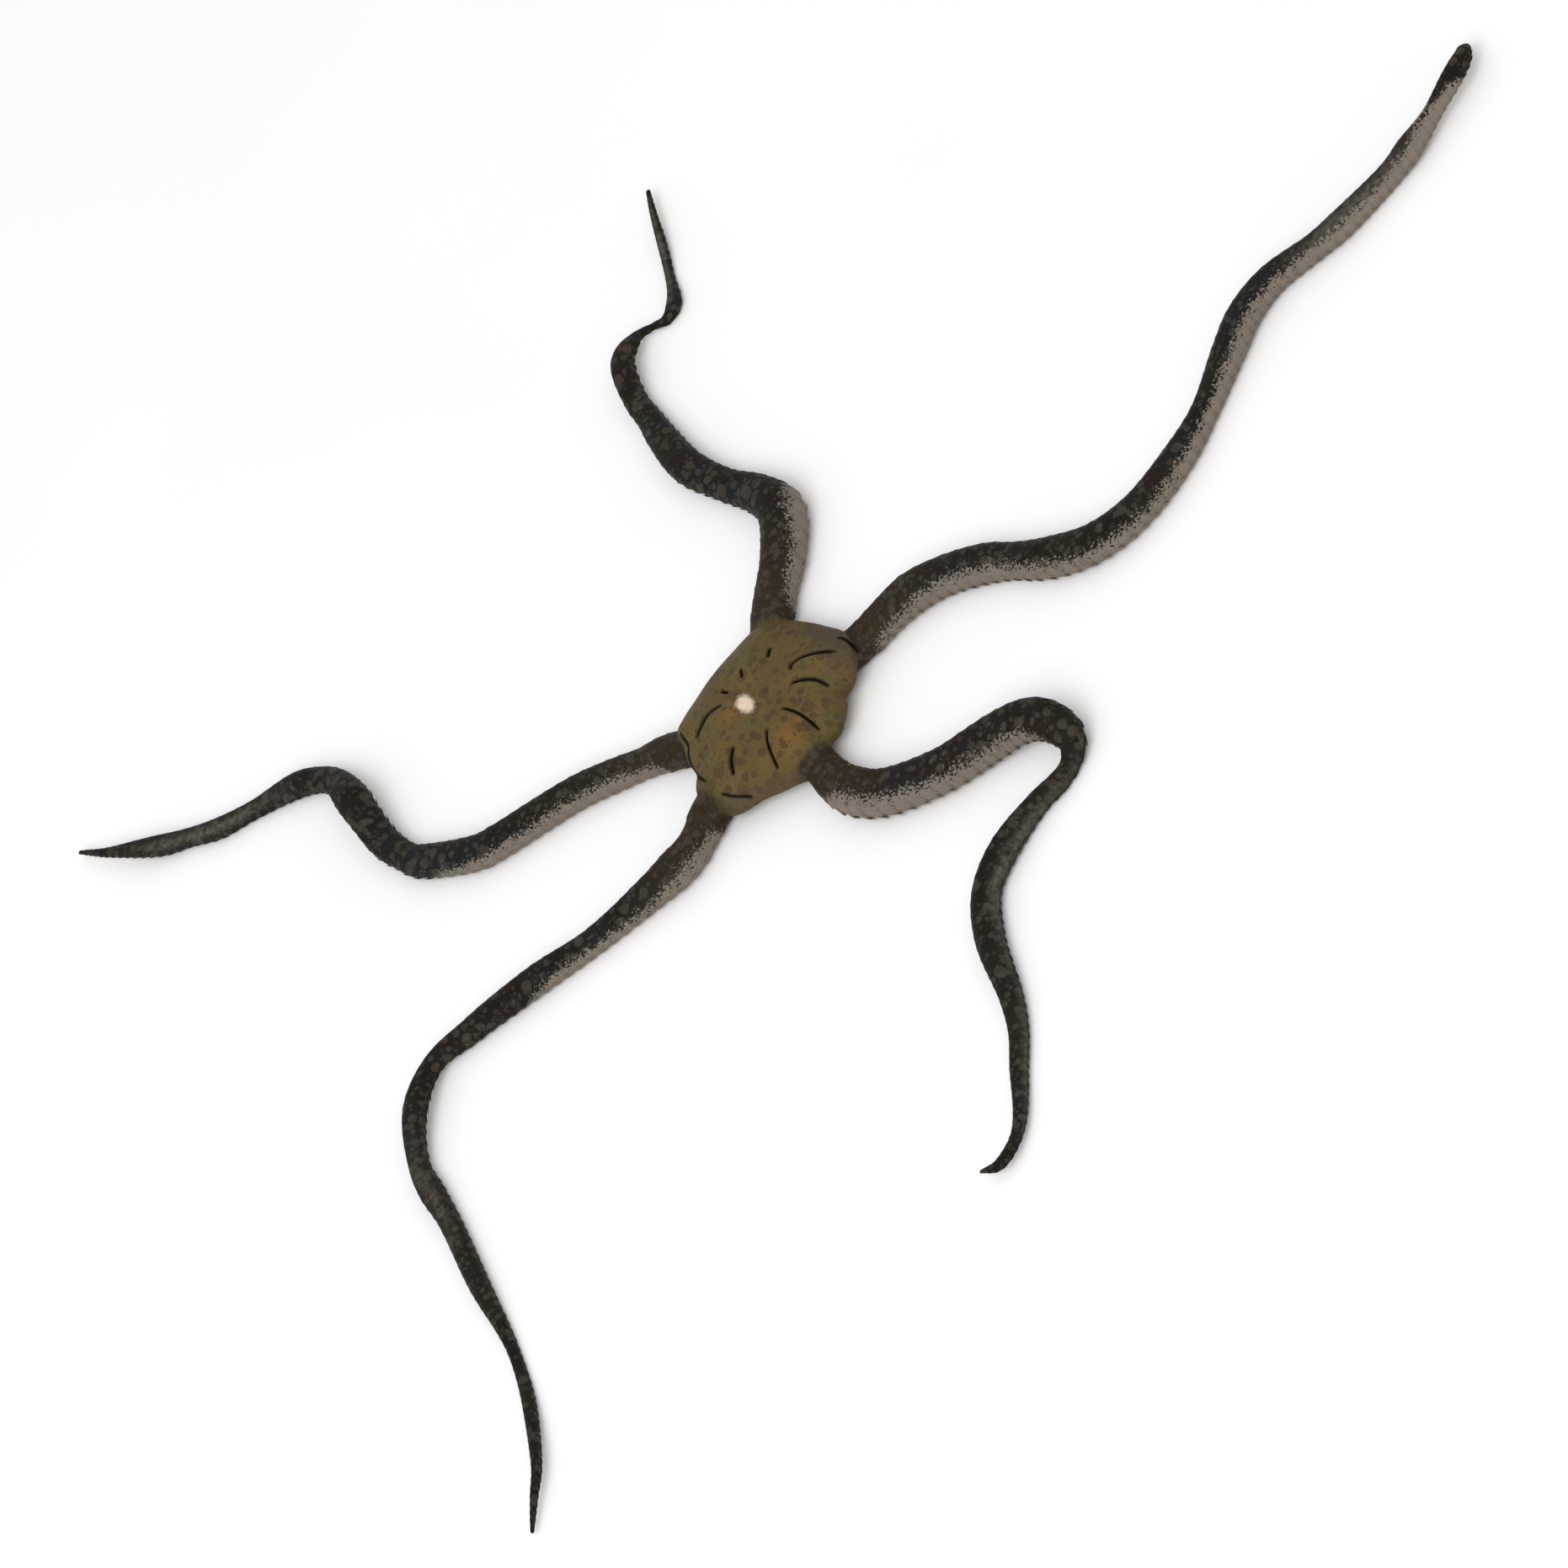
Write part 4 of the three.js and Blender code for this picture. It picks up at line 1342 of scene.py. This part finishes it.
    def lay_out(self, mesh: bpy.types.Mesh, points: Array) -> None:
        """Write the map for the bake: a strip for each arm, and the disc from above and from below.

        Args:
            mesh: The skin's mesh.
            points: Its points in millimetres.
        """
        corner = read(mesh.loops, "vertex_index")
        first = read(mesh.polygons, "loop_start")
        face = np.repeat(np.arange(len(first)), read(mesh.polygons, "loop_total"))
        piece = read(mesh.polygons, "material_index")[face]
        along = self.numbers(mesh, "along")[corner]
        turn = self.numbers(mesh, "round")[corner]
        high = np.maximum.reduceat(turn, first)[face]
        wraps = high - np.minimum.reduceat(turn, first)[face] > pi
        turn = np.where(wraps & (turn < 0), turn + 2 * pi, turn)
        places = np.empty((len(corner), 2))
        for i, arm in enumerate(self.arms):
            own = piece == i + 1
            start = arm.route.start
            places[own, 0] = (along[own] - start) / (arm.route.length - start)
            places[own, 1] = (i + (turn[own] + pi) / self.strip_turn) * self.strip_height
        plan = points[corner, :2] / self.plan_half * 0.5 + 0.5
        own = piece == 0
        above = read(mesh.polygons, "normal", float, 3)[face, 2] > 0
        side = 1.0 - len(self.arms) * self.strip_height - self.map_margin
        places[own] = plan[own] * side
        places[own, 0] += np.where(above[own], 0.0, side)
        places[own, 1] += 1.0 - side
        write_map(mesh, self.map_margin + (1.0 - 2 * self.map_margin) * places)

    @staticmethod
    def tidy(mesh: bpy.types.Mesh) -> None:
        """Take away what only the joining needed.

        Args:
            mesh: The skin's mesh.
        """
        mesh.attributes.remove(mesh.attributes["kept"])
        mesh.polygons.foreach_set("material_index", np.zeros(len(mesh.polygons), np.int32))
        while len(mesh.materials) > 1:
            mesh.materials.pop()
        mesh.shade_smooth()
        mesh.update()


@dataclass(frozen=True)
class SpineRing:
    """One ring of a spine: its share of the way to the tip, how far out it lies, and its girth."""

    share: float
    out: float
    girth: float


@dataclass
class Spine:
    """One spine: its points, where along and round the arm it stands, and where each point lies."""

    points: Array
    seat: Pair
    along: Array
    turns: Array


@dataclass
class ArmSpines:
    """The spines of one arm: a row up each side of every segment, flat and lying forward on the plates."""

    skin: ArmSkin
    finish: bpy.types.Material
    seed: int
    place: float = 0.45
    sunk: float = 0.15
    length: float = 0.67
    half_height: float = 0.2
    half_thickness: float = 0.1
    turn_radius: float = 0.45
    full_width: float = 5.5
    least_size: float = 0.42
    variation: float = 0.12
    turn_variation: float = 0.03
    lift_variation: Pair = (-0.006, 0.012)
    row_start: float = 2.4
    row_growth: float = 0.95
    least_row: int = 3
    greatest_row: int = 8
    corners: int = 6
    patch: float = 0.0015
    top_turn: float = 1.03
    low_turn: float = 2.25
    upper_pull: float = 0.03
    lower_push: float = 0.04
    lower_start: float = 1.75
    least_width: float = 0.7
    bare_end: float = 1.2
    floor_gap: float = 0.04
    map_margin: float = 0.01
    rings: tuple[SpineRing, ...] = (
        SpineRing(0.0, 0.8, 0.8),
        SpineRing(0.3, 0.93, 1.0),
        SpineRing(0.65, 0.965, 0.9),
        SpineRing(0.88, 0.98, 0.55),
        SpineRing(1.0, 0.978, 0.0),
    )

    def rows(self, width: float) -> int:
        """Give how many spines stand in a row on an arm of this width."""
        wanted = round(self.row_start + width * self.row_growth)
        return max(self.least_row, min(wanted, self.greatest_row))

    def build(self) -> bpy.types.Object:
        """Build the arm's spines as one mesh.

        Returns:
            The piece.
        """
        random = Random(self.seed)
        spines = []
        for number in range(self.skin.count):
            for side in Side:
                spines += self.segment_spines(number, side, random)
        points = np.vstack([spine.points for spine in spines])
        each = len(spines[0].points)
        faces = [
            tuple(first * each + corner for corner in face)
            for first in range(len(spines))
            for face in self.spine_faces()
        ]
        out = [ring.share for ring in self.rings[:-1] for _ in range(self.corners)] + [1.0]
        along = np.concatenate([spine.along for spine in spines])
        turns = np.concatenate([spine.turns for spine in spines])
        numbers = {"out": np.tile(out, len(spines)), **self.skin.tints(along, turns)}
        piece = Sheet(points, faces, numbers).piece(f"spines_{self.skin.route.name}", self.finish)
        self.lay_out(piece.data, np.repeat([spine.seat for spine in spines], each, axis=0))
        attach(piece, BODY)
        return piece

    def segment_spines(self, number: int, side: Side, random: Random) -> list[Spine]:
        """Build the row of spines on one side of a segment.

        Args:
            number: The segment, counted from the disc.
            side: The side of the arm.
            random: Gives the small differences.

        Returns:
            The spines.
        """
        start, end = self.skin.grooves[number], self.skin.grooves[number + 1]
        step = end - start
        seat = start + step * self.place
        width = float(self.skin.route.places(np.array([seat])).width[0])
        if width < self.least_width or self.skin.route.length - seat < self.bare_end:
            return []
        made = []
        for turn in np.linspace(self.top_turn, self.low_turn, self.rows(width)):
            turned = side.value * (turn + random.uniform(-self.turn_variation, self.turn_variation))
            reach = step * self.length * (1 + random.uniform(-self.variation, self.variation))
            size = max(width / self.full_width, self.least_size)
            push = self.lower_push if turn > self.lower_start else -self.upper_pull
            lift = random.uniform(*self.lift_variation) + push
            made.append(self.spine((seat, turned), step * self.sunk, reach, size, lift))
        return made

    def spine(self, seat: Pair, sunk: float, reach: float, size: float, lift: float) -> Spine:
        """Build one spine, which follows the arm's bend.

        Args:
            seat: Where along and round the arm it stands.
            sunk: How far behind that its root lies.
            reach: How far ahead of it its tip lies.
            size: Its thickness, 1 on a wide arm.
            lift: How much further out its tip lies than others'.

        Returns:
            The spine, with its tip as the last point.
        """
        shares = np.array([ring.share for ring in self.rings])
        distance, turn = seat
        distances = distance - sunk + (reach + sunk) * shares
        places = self.skin.route.places(distances)
        across, up = self.skin.section(np.array([turn]))
        height = self.skin.height_share * places.width
        out = np.array([ring.out for ring in self.rings]) + lift * shares
        centres = places.middle + places.side * (across[0] * out * places.width / 2)[:, None]
        centres[:, 2] += height * (0.5 + (up[0] - 0.5) * out)
        outward = places.side * across[0]
        outward[:, 2] += (up[0] - 0.5) * 2 * self.skin.height_share
        outward /= np.linalg.norm(outward, axis=1)[:, None]
        along = np.gradient(centres, axis=0)
        flat = np.cross(along, outward)
        flat /= np.linalg.norm(flat, axis=1)[:, None]
        corners = np.arange(self.corners) * 2 * pi / self.corners
        rings, turns = [], []
        for i, ring in enumerate(self.rings[:-1]):
            half_height = self.half_height * size * ring.girth
            tall = flat[i] * half_height
            thick = outward[i] * self.half_thickness * size * ring.girth
            rings.append(centres[i] + np.cos(corners)[:, None] * tall - np.sin(corners)[:, None] * thick)
            turns.append(turn + np.cos(corners) * half_height / (self.turn_radius * places.width[i]))
        points = np.vstack(rings + [centres[-1:]])
        points[:, 2] = np.maximum(points[:, 2], self.floor_gap)
        along = np.append(np.repeat(distances[:-1], self.corners), distances[-1])
        return Spine(points, seat, along, np.append(np.concatenate(turns), turn))

    def spine_faces(self) -> list[tuple[int, ...]]:
        """List the faces of one spine.

        Returns:
            The point numbers of each face.
        """
        rings = len(self.rings) - 1
        faces = tube_faces(rings, self.corners, False)
        last = (rings - 1) * self.corners
        tip = rings * self.corners
        return faces + [(last + k, last + (k + 1) % self.corners, tip) for k in range(self.corners)]

    def lay_out(self, mesh: bpy.types.Mesh, seats: Array) -> None:
        """Write the map for the bake, on which each spine is a small patch at its root's place.

        Args:
            mesh: The spines' mesh.
            seats: Where along and round the arm each point's spine stands.
        """
        turns = np.arange(self.corners) * 2 * pi / self.corners
        steps = [(ring.share - 0.5, cos(t) / 2) for ring in self.rings[:-1] for t in turns] + [(0.5, 0.0)]
        within = np.tile(np.array(steps) * 2 * self.patch, (len(seats) // len(steps), 1))
        middle = np.stack([seats[:, 0] / self.skin.route.length, (seats[:, 1] + pi) / (2 * pi)], axis=1)
        places = self.map_margin + (1.0 - 2 * self.map_margin) * middle + within
        write_map(mesh, places[read(mesh.loops, "vertex_index")])


@dataclass
class MouthFrame:
    """The ring of five jaws under the disc, rounded, with a slit between each two of them."""

    bearings: list[float]
    finish: MouthFinish
    radius: float = 4.2
    waist: float = 0.9
    depth: float = 1.6
    slit_height: float = 1.15
    slit_half_width: float = 0.3
    slit_start: float = 0.7
    slit_widest: float = 2.0
    slit_end: float = 3.6
    slit_close: float = 0.3
    slit_least: float = 0.25
    slit_fade: Pair = (0.6, 1.2)
    edge: float = 0.55
    edge_rise: float = 0.5
    crest_height: float = 0.22
    crest_turn: Pair = (12.0, 34.0)
    crest_start: Pair = (0.6, 2.0)
    middle_height: float = 0.5
    middle_fade: Pair = (0.2, 0.9)
    middle_share: float = 0.01
    top_edge: float = 0.1
    top_share: float = 0.97
    corners: int = 240
    rings: int = 48

    def outline(self, degrees: Array) -> Array:
        """Give the radius of the ring in each direction: a corner along each arm and one between."""
        turned = np.clip(turn_from(degrees, self.bearings) / HALF_GAP, 0.0, 1.0)
        return self.radius * (1.0 - (1.0 - self.waist) * turned)

    def slits(self, plan: Array) -> Array:
        """Give how deep in a slit each place is, from 0 to 1.

        Args:
            plan: East and north of each place.

        Returns:
            The depths.
        """
        found = np.zeros(len(plan))
        for bearing in self.bearings:
            out, aside = out_and_aside(plan, bearing)
            opening = smooth_step(out, self.slit_start, self.slit_widest)
            closing = 1.0 - smooth_step(out, self.slit_widest, self.slit_end)
            share = np.where(out < self.slit_widest, opening, closing)
            width = self.slit_half_width * (self.slit_least + (1.0 - self.slit_least) * share)
            inside = (out > 0) * (1.0 - smooth_step(out, self.slit_end, self.slit_end + self.slit_close))
            found = np.maximum(found, inside * (1.0 - smooth_step(np.abs(aside) / width, *self.slit_fade)))
        return found

    def underside(self, radius: Array, degrees: Array) -> Array:
        """Give the height of the jaws' underside over the floor.

        Args:
            radius: The distance of each point from the middle.
            degrees: The direction of each.

        Returns:
            The heights.
        """
        near_edge = 1.0 - smooth_step(self.outline(degrees) - radius, 0.0, self.edge)
        crest = 1.0 - smooth_step(turn_from(degrees, self.bearings), *self.crest_turn)
        crest *= self.crest_height * smooth_step(radius, *self.crest_start)
        middle = self.middle_height * (1.0 - smooth_step(radius, *self.middle_fade))
        soft = np.maximum(crest + middle, self.edge_rise * near_edge**2)
        return soft + (self.slit_height - soft) * self.slits(around(radius, degrees))

    def build(self) -> bpy.types.Object:
        """Build the ring of jaws.

        Returns:
            The piece.
        """
        degrees = np.arange(self.corners) * 360.0 / self.corners
        outline = self.outline(degrees)
        shares = np.linspace(self.middle_share, 1.0, self.rings)
        rings = [(share * outline, self.underside(share * outline, degrees)) for share in shares]
        for share, drop in ((1.0, self.top_edge), (self.top_share, 0.0), (self.middle_share, 0.0)):
            rings.append((share * outline, np.full(self.corners, self.depth - drop)))
        piece = stacked(degrees, rings).piece("jaws", self.finish.material())
        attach(piece, BODY)
        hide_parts("mouth_frame")
        return piece


@dataclass
class Studio:
    """A plain pale floor, soft light and the camera at the picture's viewing angle.

    The lamp's place and size, and how near and far the camera sees, are in metres.
    """

    elevation: float = 42.0
    roll: float = 51.0
    lens: float = 300.0
    frame_width: float = 186.2
    target: Pair = (-5.2, -6.5)
    sensor: float = 36.0
    clip: Pair = (0.05, 50.0)
    floor_size: float = 6000.0
    floor_drop: float = 0.02
    sky: float = 0.74
    lamp_place: tuple[float, float, float] = (-0.45, -0.75, 1.05)
    lamp_size: float = 1.0
    lamp_power: float = 10.5

    def camera(self) -> None:
        """Set up the camera, which looks north and down and is rolled."""
        down, rolled = radians(self.elevation), radians(self.roll)
        ahead = Vector((0, cos(down), -sin(down)))
        level = Vector((1, 0, 0))
        upward = Vector((0, sin(down), cos(down)))
        right = level * cos(rolled) - upward * sin(rolled)
        top = level * sin(rolled) + upward * cos(rolled)
        data = bpy.data.cameras.new("camera")
        data.lens = self.lens
        data.sensor_width = self.sensor
        data.clip_start, data.clip_end = self.clip
        made = placed("camera", data)
        distance = self.frame_width * self.lens / self.sensor
        eye = (Vector((*self.target, 0)) - ahead * distance) * MM
        turned = Matrix((right, top, -ahead)).transposed().to_4x4()
        made.matrix_world = Matrix.Translation(eye) @ turned
        bpy.context.scene.camera = made

    def floor(self) -> None:
        """Lay the floor."""
        half = self.floor_size / 2
        corners = ((-half, -half), (half, -half), (half, half), (-half, half))
        points = np.array([(east, north, -self.floor_drop) for east, north in corners])
        made = Sheet(points, [(0, 1, 2, 3)]).piece("floor", FloorFinish().material())

    def light(self) -> None:
        """Hang one square soft lamp that shines on the star, under an even sky."""
        data = bpy.data.lights.new("key", "AREA")
        data.size = self.lamp_size
        data.energy = self.lamp_power
        lamp = placed("key", data)
        lamp.location = self.lamp_place
        lamp.rotation_euler = (-Vector(self.lamp_place)).to_track_quat("-Z", "Y").to_euler()
        world = bpy.data.worlds.new("studio")
        world.use_nodes = True
        background = world.node_tree.nodes["Background"]
        background.inputs["Color"].default_value = (1.0, 1.0, 1.0, 1.0)
        background.inputs["Strength"].default_value = self.sky
        bpy.context.scene.world = world

    def build(self) -> None:
        """Set up the camera, the floor and the light."""
        self.camera()
        self.floor()
        self.light()
        bpy.context.scene.view_settings.view_transform = "Standard"


# Each route's lights are painted highlights on its arm's back.
ROUTES = [
    # The arm whose end has regrown thin.
    ArmRoute(
        "arm_n",
        [
            (4, 5, 5.2), (8.5, 10.5, 5.7), (11.8, 13.8, 5.5), (15.7, 16.7, 5.9), (20, 22, 6.2),
            (20.1, 27.5, 5.2), (18.5, 34, 4.3), (17.4, 41.5, 4.6), (18.3, 49, 4), (19.1, 53, 3.4),
            (19.8, 57, 3.2), (22.4, 62.3, 3.2), (24.6, 63.9, 2.6), (26.4, 64.7, 1.5), (28.4, 64.2, 1),
            (30, 63.2, 1.5), (31.8, 63.5, 2.1), (33, 65, 1.8), (34.2, 67.4, 1.3), (37, 72.4, 1.3),
            (39.1, 76.5, 1), (41.3, 80.6, 0.6),
        ],
        4,
        [(50, 68, 1.2), (72, 110, 1.2)],
        Side.RIGHT,
        [
            (0.5, 2.2), (2.5, 1.4), (4, 1.13), (8, 0.97), (12, 0.82), (14.5, 0.62), (17, 0.6),
            (18.5, 1.2), (19.5, 2.6),
        ],
        lights=[(68, 90, 0, 0.9)],
        olive_fade=(10.6, 14.8),
    ),
    # The arm with the pale side all along, on whose root the disc's rim lies.
    ArmRoute(
        "arm_ne",
        [
            (6, -1.5, 5.6), (14.7, -3.7, 5.2), (17.7, -4, 5.2), (21.9, -5.1, 5.6), (26, -7.6, 5.3),
            (30.3, -12.1, 5.2), (32.3, -15.1, 4.8), (35.4, -20.2, 5.4), (39.9, -24.4, 5.2),
            (46, -26.4, 4.8), (53.9, -26, 4.4), (60.1, -24.2, 3.7), (67.5, -21.1, 4.4),
            (72, -19.3, 4.5), (77, -19, 4.2), (83.6, -21.2, 3.7), (86.9, -22.2, 3.9), (96, -23.3, 3.4),
            (99, -23.5, 3.6), (104, -23.2, 2.6), (109, -22.5, 2.9), (111.4, -21.6, 2.6),
            (113.1, -19.8, 1.5),
        ],
        4,
        [(92, 125, 1.6)],
        Side.RIGHT,
        [
            (0.5, 2.2), (2, 1.38), (5, 1.24), (10, 1.03), (17, 0.65), (21, 0.54), (28, 0.68), (34, 0.99),
            (40, 1.01), (45, 1.13), (50, 0.92), (60, 0.69), (68, 0.7), (75, 0.88), (81, 0.62), (90, 0.64),
            (97, 0.54), (99.5, 0.1), (103, 0.1), (105, 0.5), (107, 1.2), (108.5, 2.6),
        ],
        lights=[(76, 100, 0.3, 0.8)],
    ),
    # The arm that turns back in a sharp elbow.
    ArmRoute(
        "arm_se",
        [
            (0, -5, 5.4), (-0.6, -11, 5), (-1, -15, 5.4), (-0.7, -19, 6.1), (1.2, -23.3, 6.1),
            (7.6, -28.9, 5.9), (14.8, -32.8, 6), (19.2, -37.1, 5.4), (20.3, -41, 4.6),
            (19.5, -43.2, 3.5), (17.5, -44.3, 2.7), (15, -44.6, 2.9), (12, -44.2, 3.1), (5.2, -45, 4),
            (0.1, -47.1, 3.8), (-4, -52.5, 3.8), (-7.9, -61.6, 3), (-10.4, -65.9, 2.6),
            (-13.6, -69.7, 2.4), (-19.7, -76.8, 1.6), (-23.5, -77.9, 1.5), (-25.7, -75.7, 0.4),
        ],
        5,
        [(24, 44, 1.3), (88, 116, 1)],
        Side.RIGHT,
        [
            (3, 1.8), (5, 0.44), (8, 0.51), (15, 0.72), (20, 0.89), (25, 1.06), (29, 0.91), (33, 1.1),
            (36.5, 1.6), (38.5, 2.6),
        ],
        lights=[(40, 74, -1.3, 0.85), (72, 98, -1.3, 0.5)],
        olive_fade=(10.4, 12.4),
    ),
    # The longest arm.
    ArmRoute(
        "arm_sw",
        [
            (-6, -1, 5.4), (-13.4, -2, 5.6), (-16.4, -2.8, 4.9), (-18.8, -3.4, 5.2), (-21, -3.3, 5.4),
            (-25, -2.2, 4.7), (-34, 0.7, 3.7), (-42, 4.1, 4.1), (-51.5, 7.7, 3.5), (-57, 8.9, 2.9),
            (-62.8, 5.6, 3.3), (-67.8, -0.4, 2.8), (-69.1, -4.5, 3.3), (-70.3, -10, 2.9),
            (-73.7, -21.5, 2.7), (-76.7, -32.5, 1.6), (-80.7, -42, 1.8), (-85.1, -49.8, 1.4),
            (-87.6, -52.2, 1.1), (-91.1, -55.3, 0.5),
        ],
        4,
        [(40, 66, 1.2), (100, 130, 1.2)],
        Side.LEFT,
        [
            (1, 2.2), (2.5, 1.21), (5, 0.97), (9, 1.15), (13, 1.33), (18, 1.22), (24, 0.99), (28, 1.17),
            (31, 1.44), (33.5, 2.4),
        ],
        lights=[(56, 78, 0.1, 0.55)],
        olive_fade=(10.0, 13.8),
    ),
    # The arm that bends twice, on whose root the disc's rim lies.
    ArmRoute(
        "arm_w",
        [
            (-4.5, 4, 5.2), (-9.4, 9.1, 5.1), (-11.6, 11.7, 4.7), (-14, 13.7, 4.2), (-16.4, 15.6, 4.4),
            (-21.5, 19.4, 4.6), (-32.3, 25, 4.7), (-34.4, 26.3, 4.7), (-37.1, 29.4, 4.6),
            (-40.3, 34.4, 4.3), (-40.8, 36.6, 3.9), (-41.2, 40.7, 4.2), (-40.4, 45.8, 4.4),
            (-39.8, 48.8, 4.7), (-39.4, 54.7, 3.7), (-40.2, 57.9, 3.4), (-42.6, 60.9, 3.6),
            (-48.6, 65, 2.6), (-53.1, 67.8, 2.9), (-56.2, 71, 2.6), (-59.5, 74, 2.9),
            (-64.4, 80.8, 1.3), (-66.8, 86, 0.5),
        ],
        4,
        [(44, 66, 1.4), (84, 112, 1.2)],
        Side.LEFT,
        [
            (1, 2.1), (2.5, 1.22), (5, 0.99), (9, 0.81), (20, 0.91), (26, 1), (31, 1.02), (35, 1.3),
            (38.5, 2.4),
        ],
        lights=[(68, 96, 0.5, 0.9)],
    ),
]


def main() -> None:
    """Build every piece and report it."""
    logging.basicConfig(level=logging.INFO, format="%(message)s")
    arms = [ArmSkin(route) for route in ROUTES]
    disc = Disc(ROUTES)
    skin = Skin(disc, arms, SkinFinish()).build()
    LOG.info("%s: %d faces", skin.name, len(skin.data.polygons))
    spine_material = SpineFinish(SkinFinish()).material()
    for seed, arm in enumerate(arms):
        spines = ArmSpines(arm, spine_material, seed).build()
        LOG.info("%s: %d faces", spines.name, len(spines.data.polygons))
    jaws = MouthFrame(disc.bearings(), MouthFinish()).build()
    LOG.info("%s: %d faces", jaws.name, len(jaws.data.polygons))
    Studio().build()


if __name__ == "__main__":
    main()
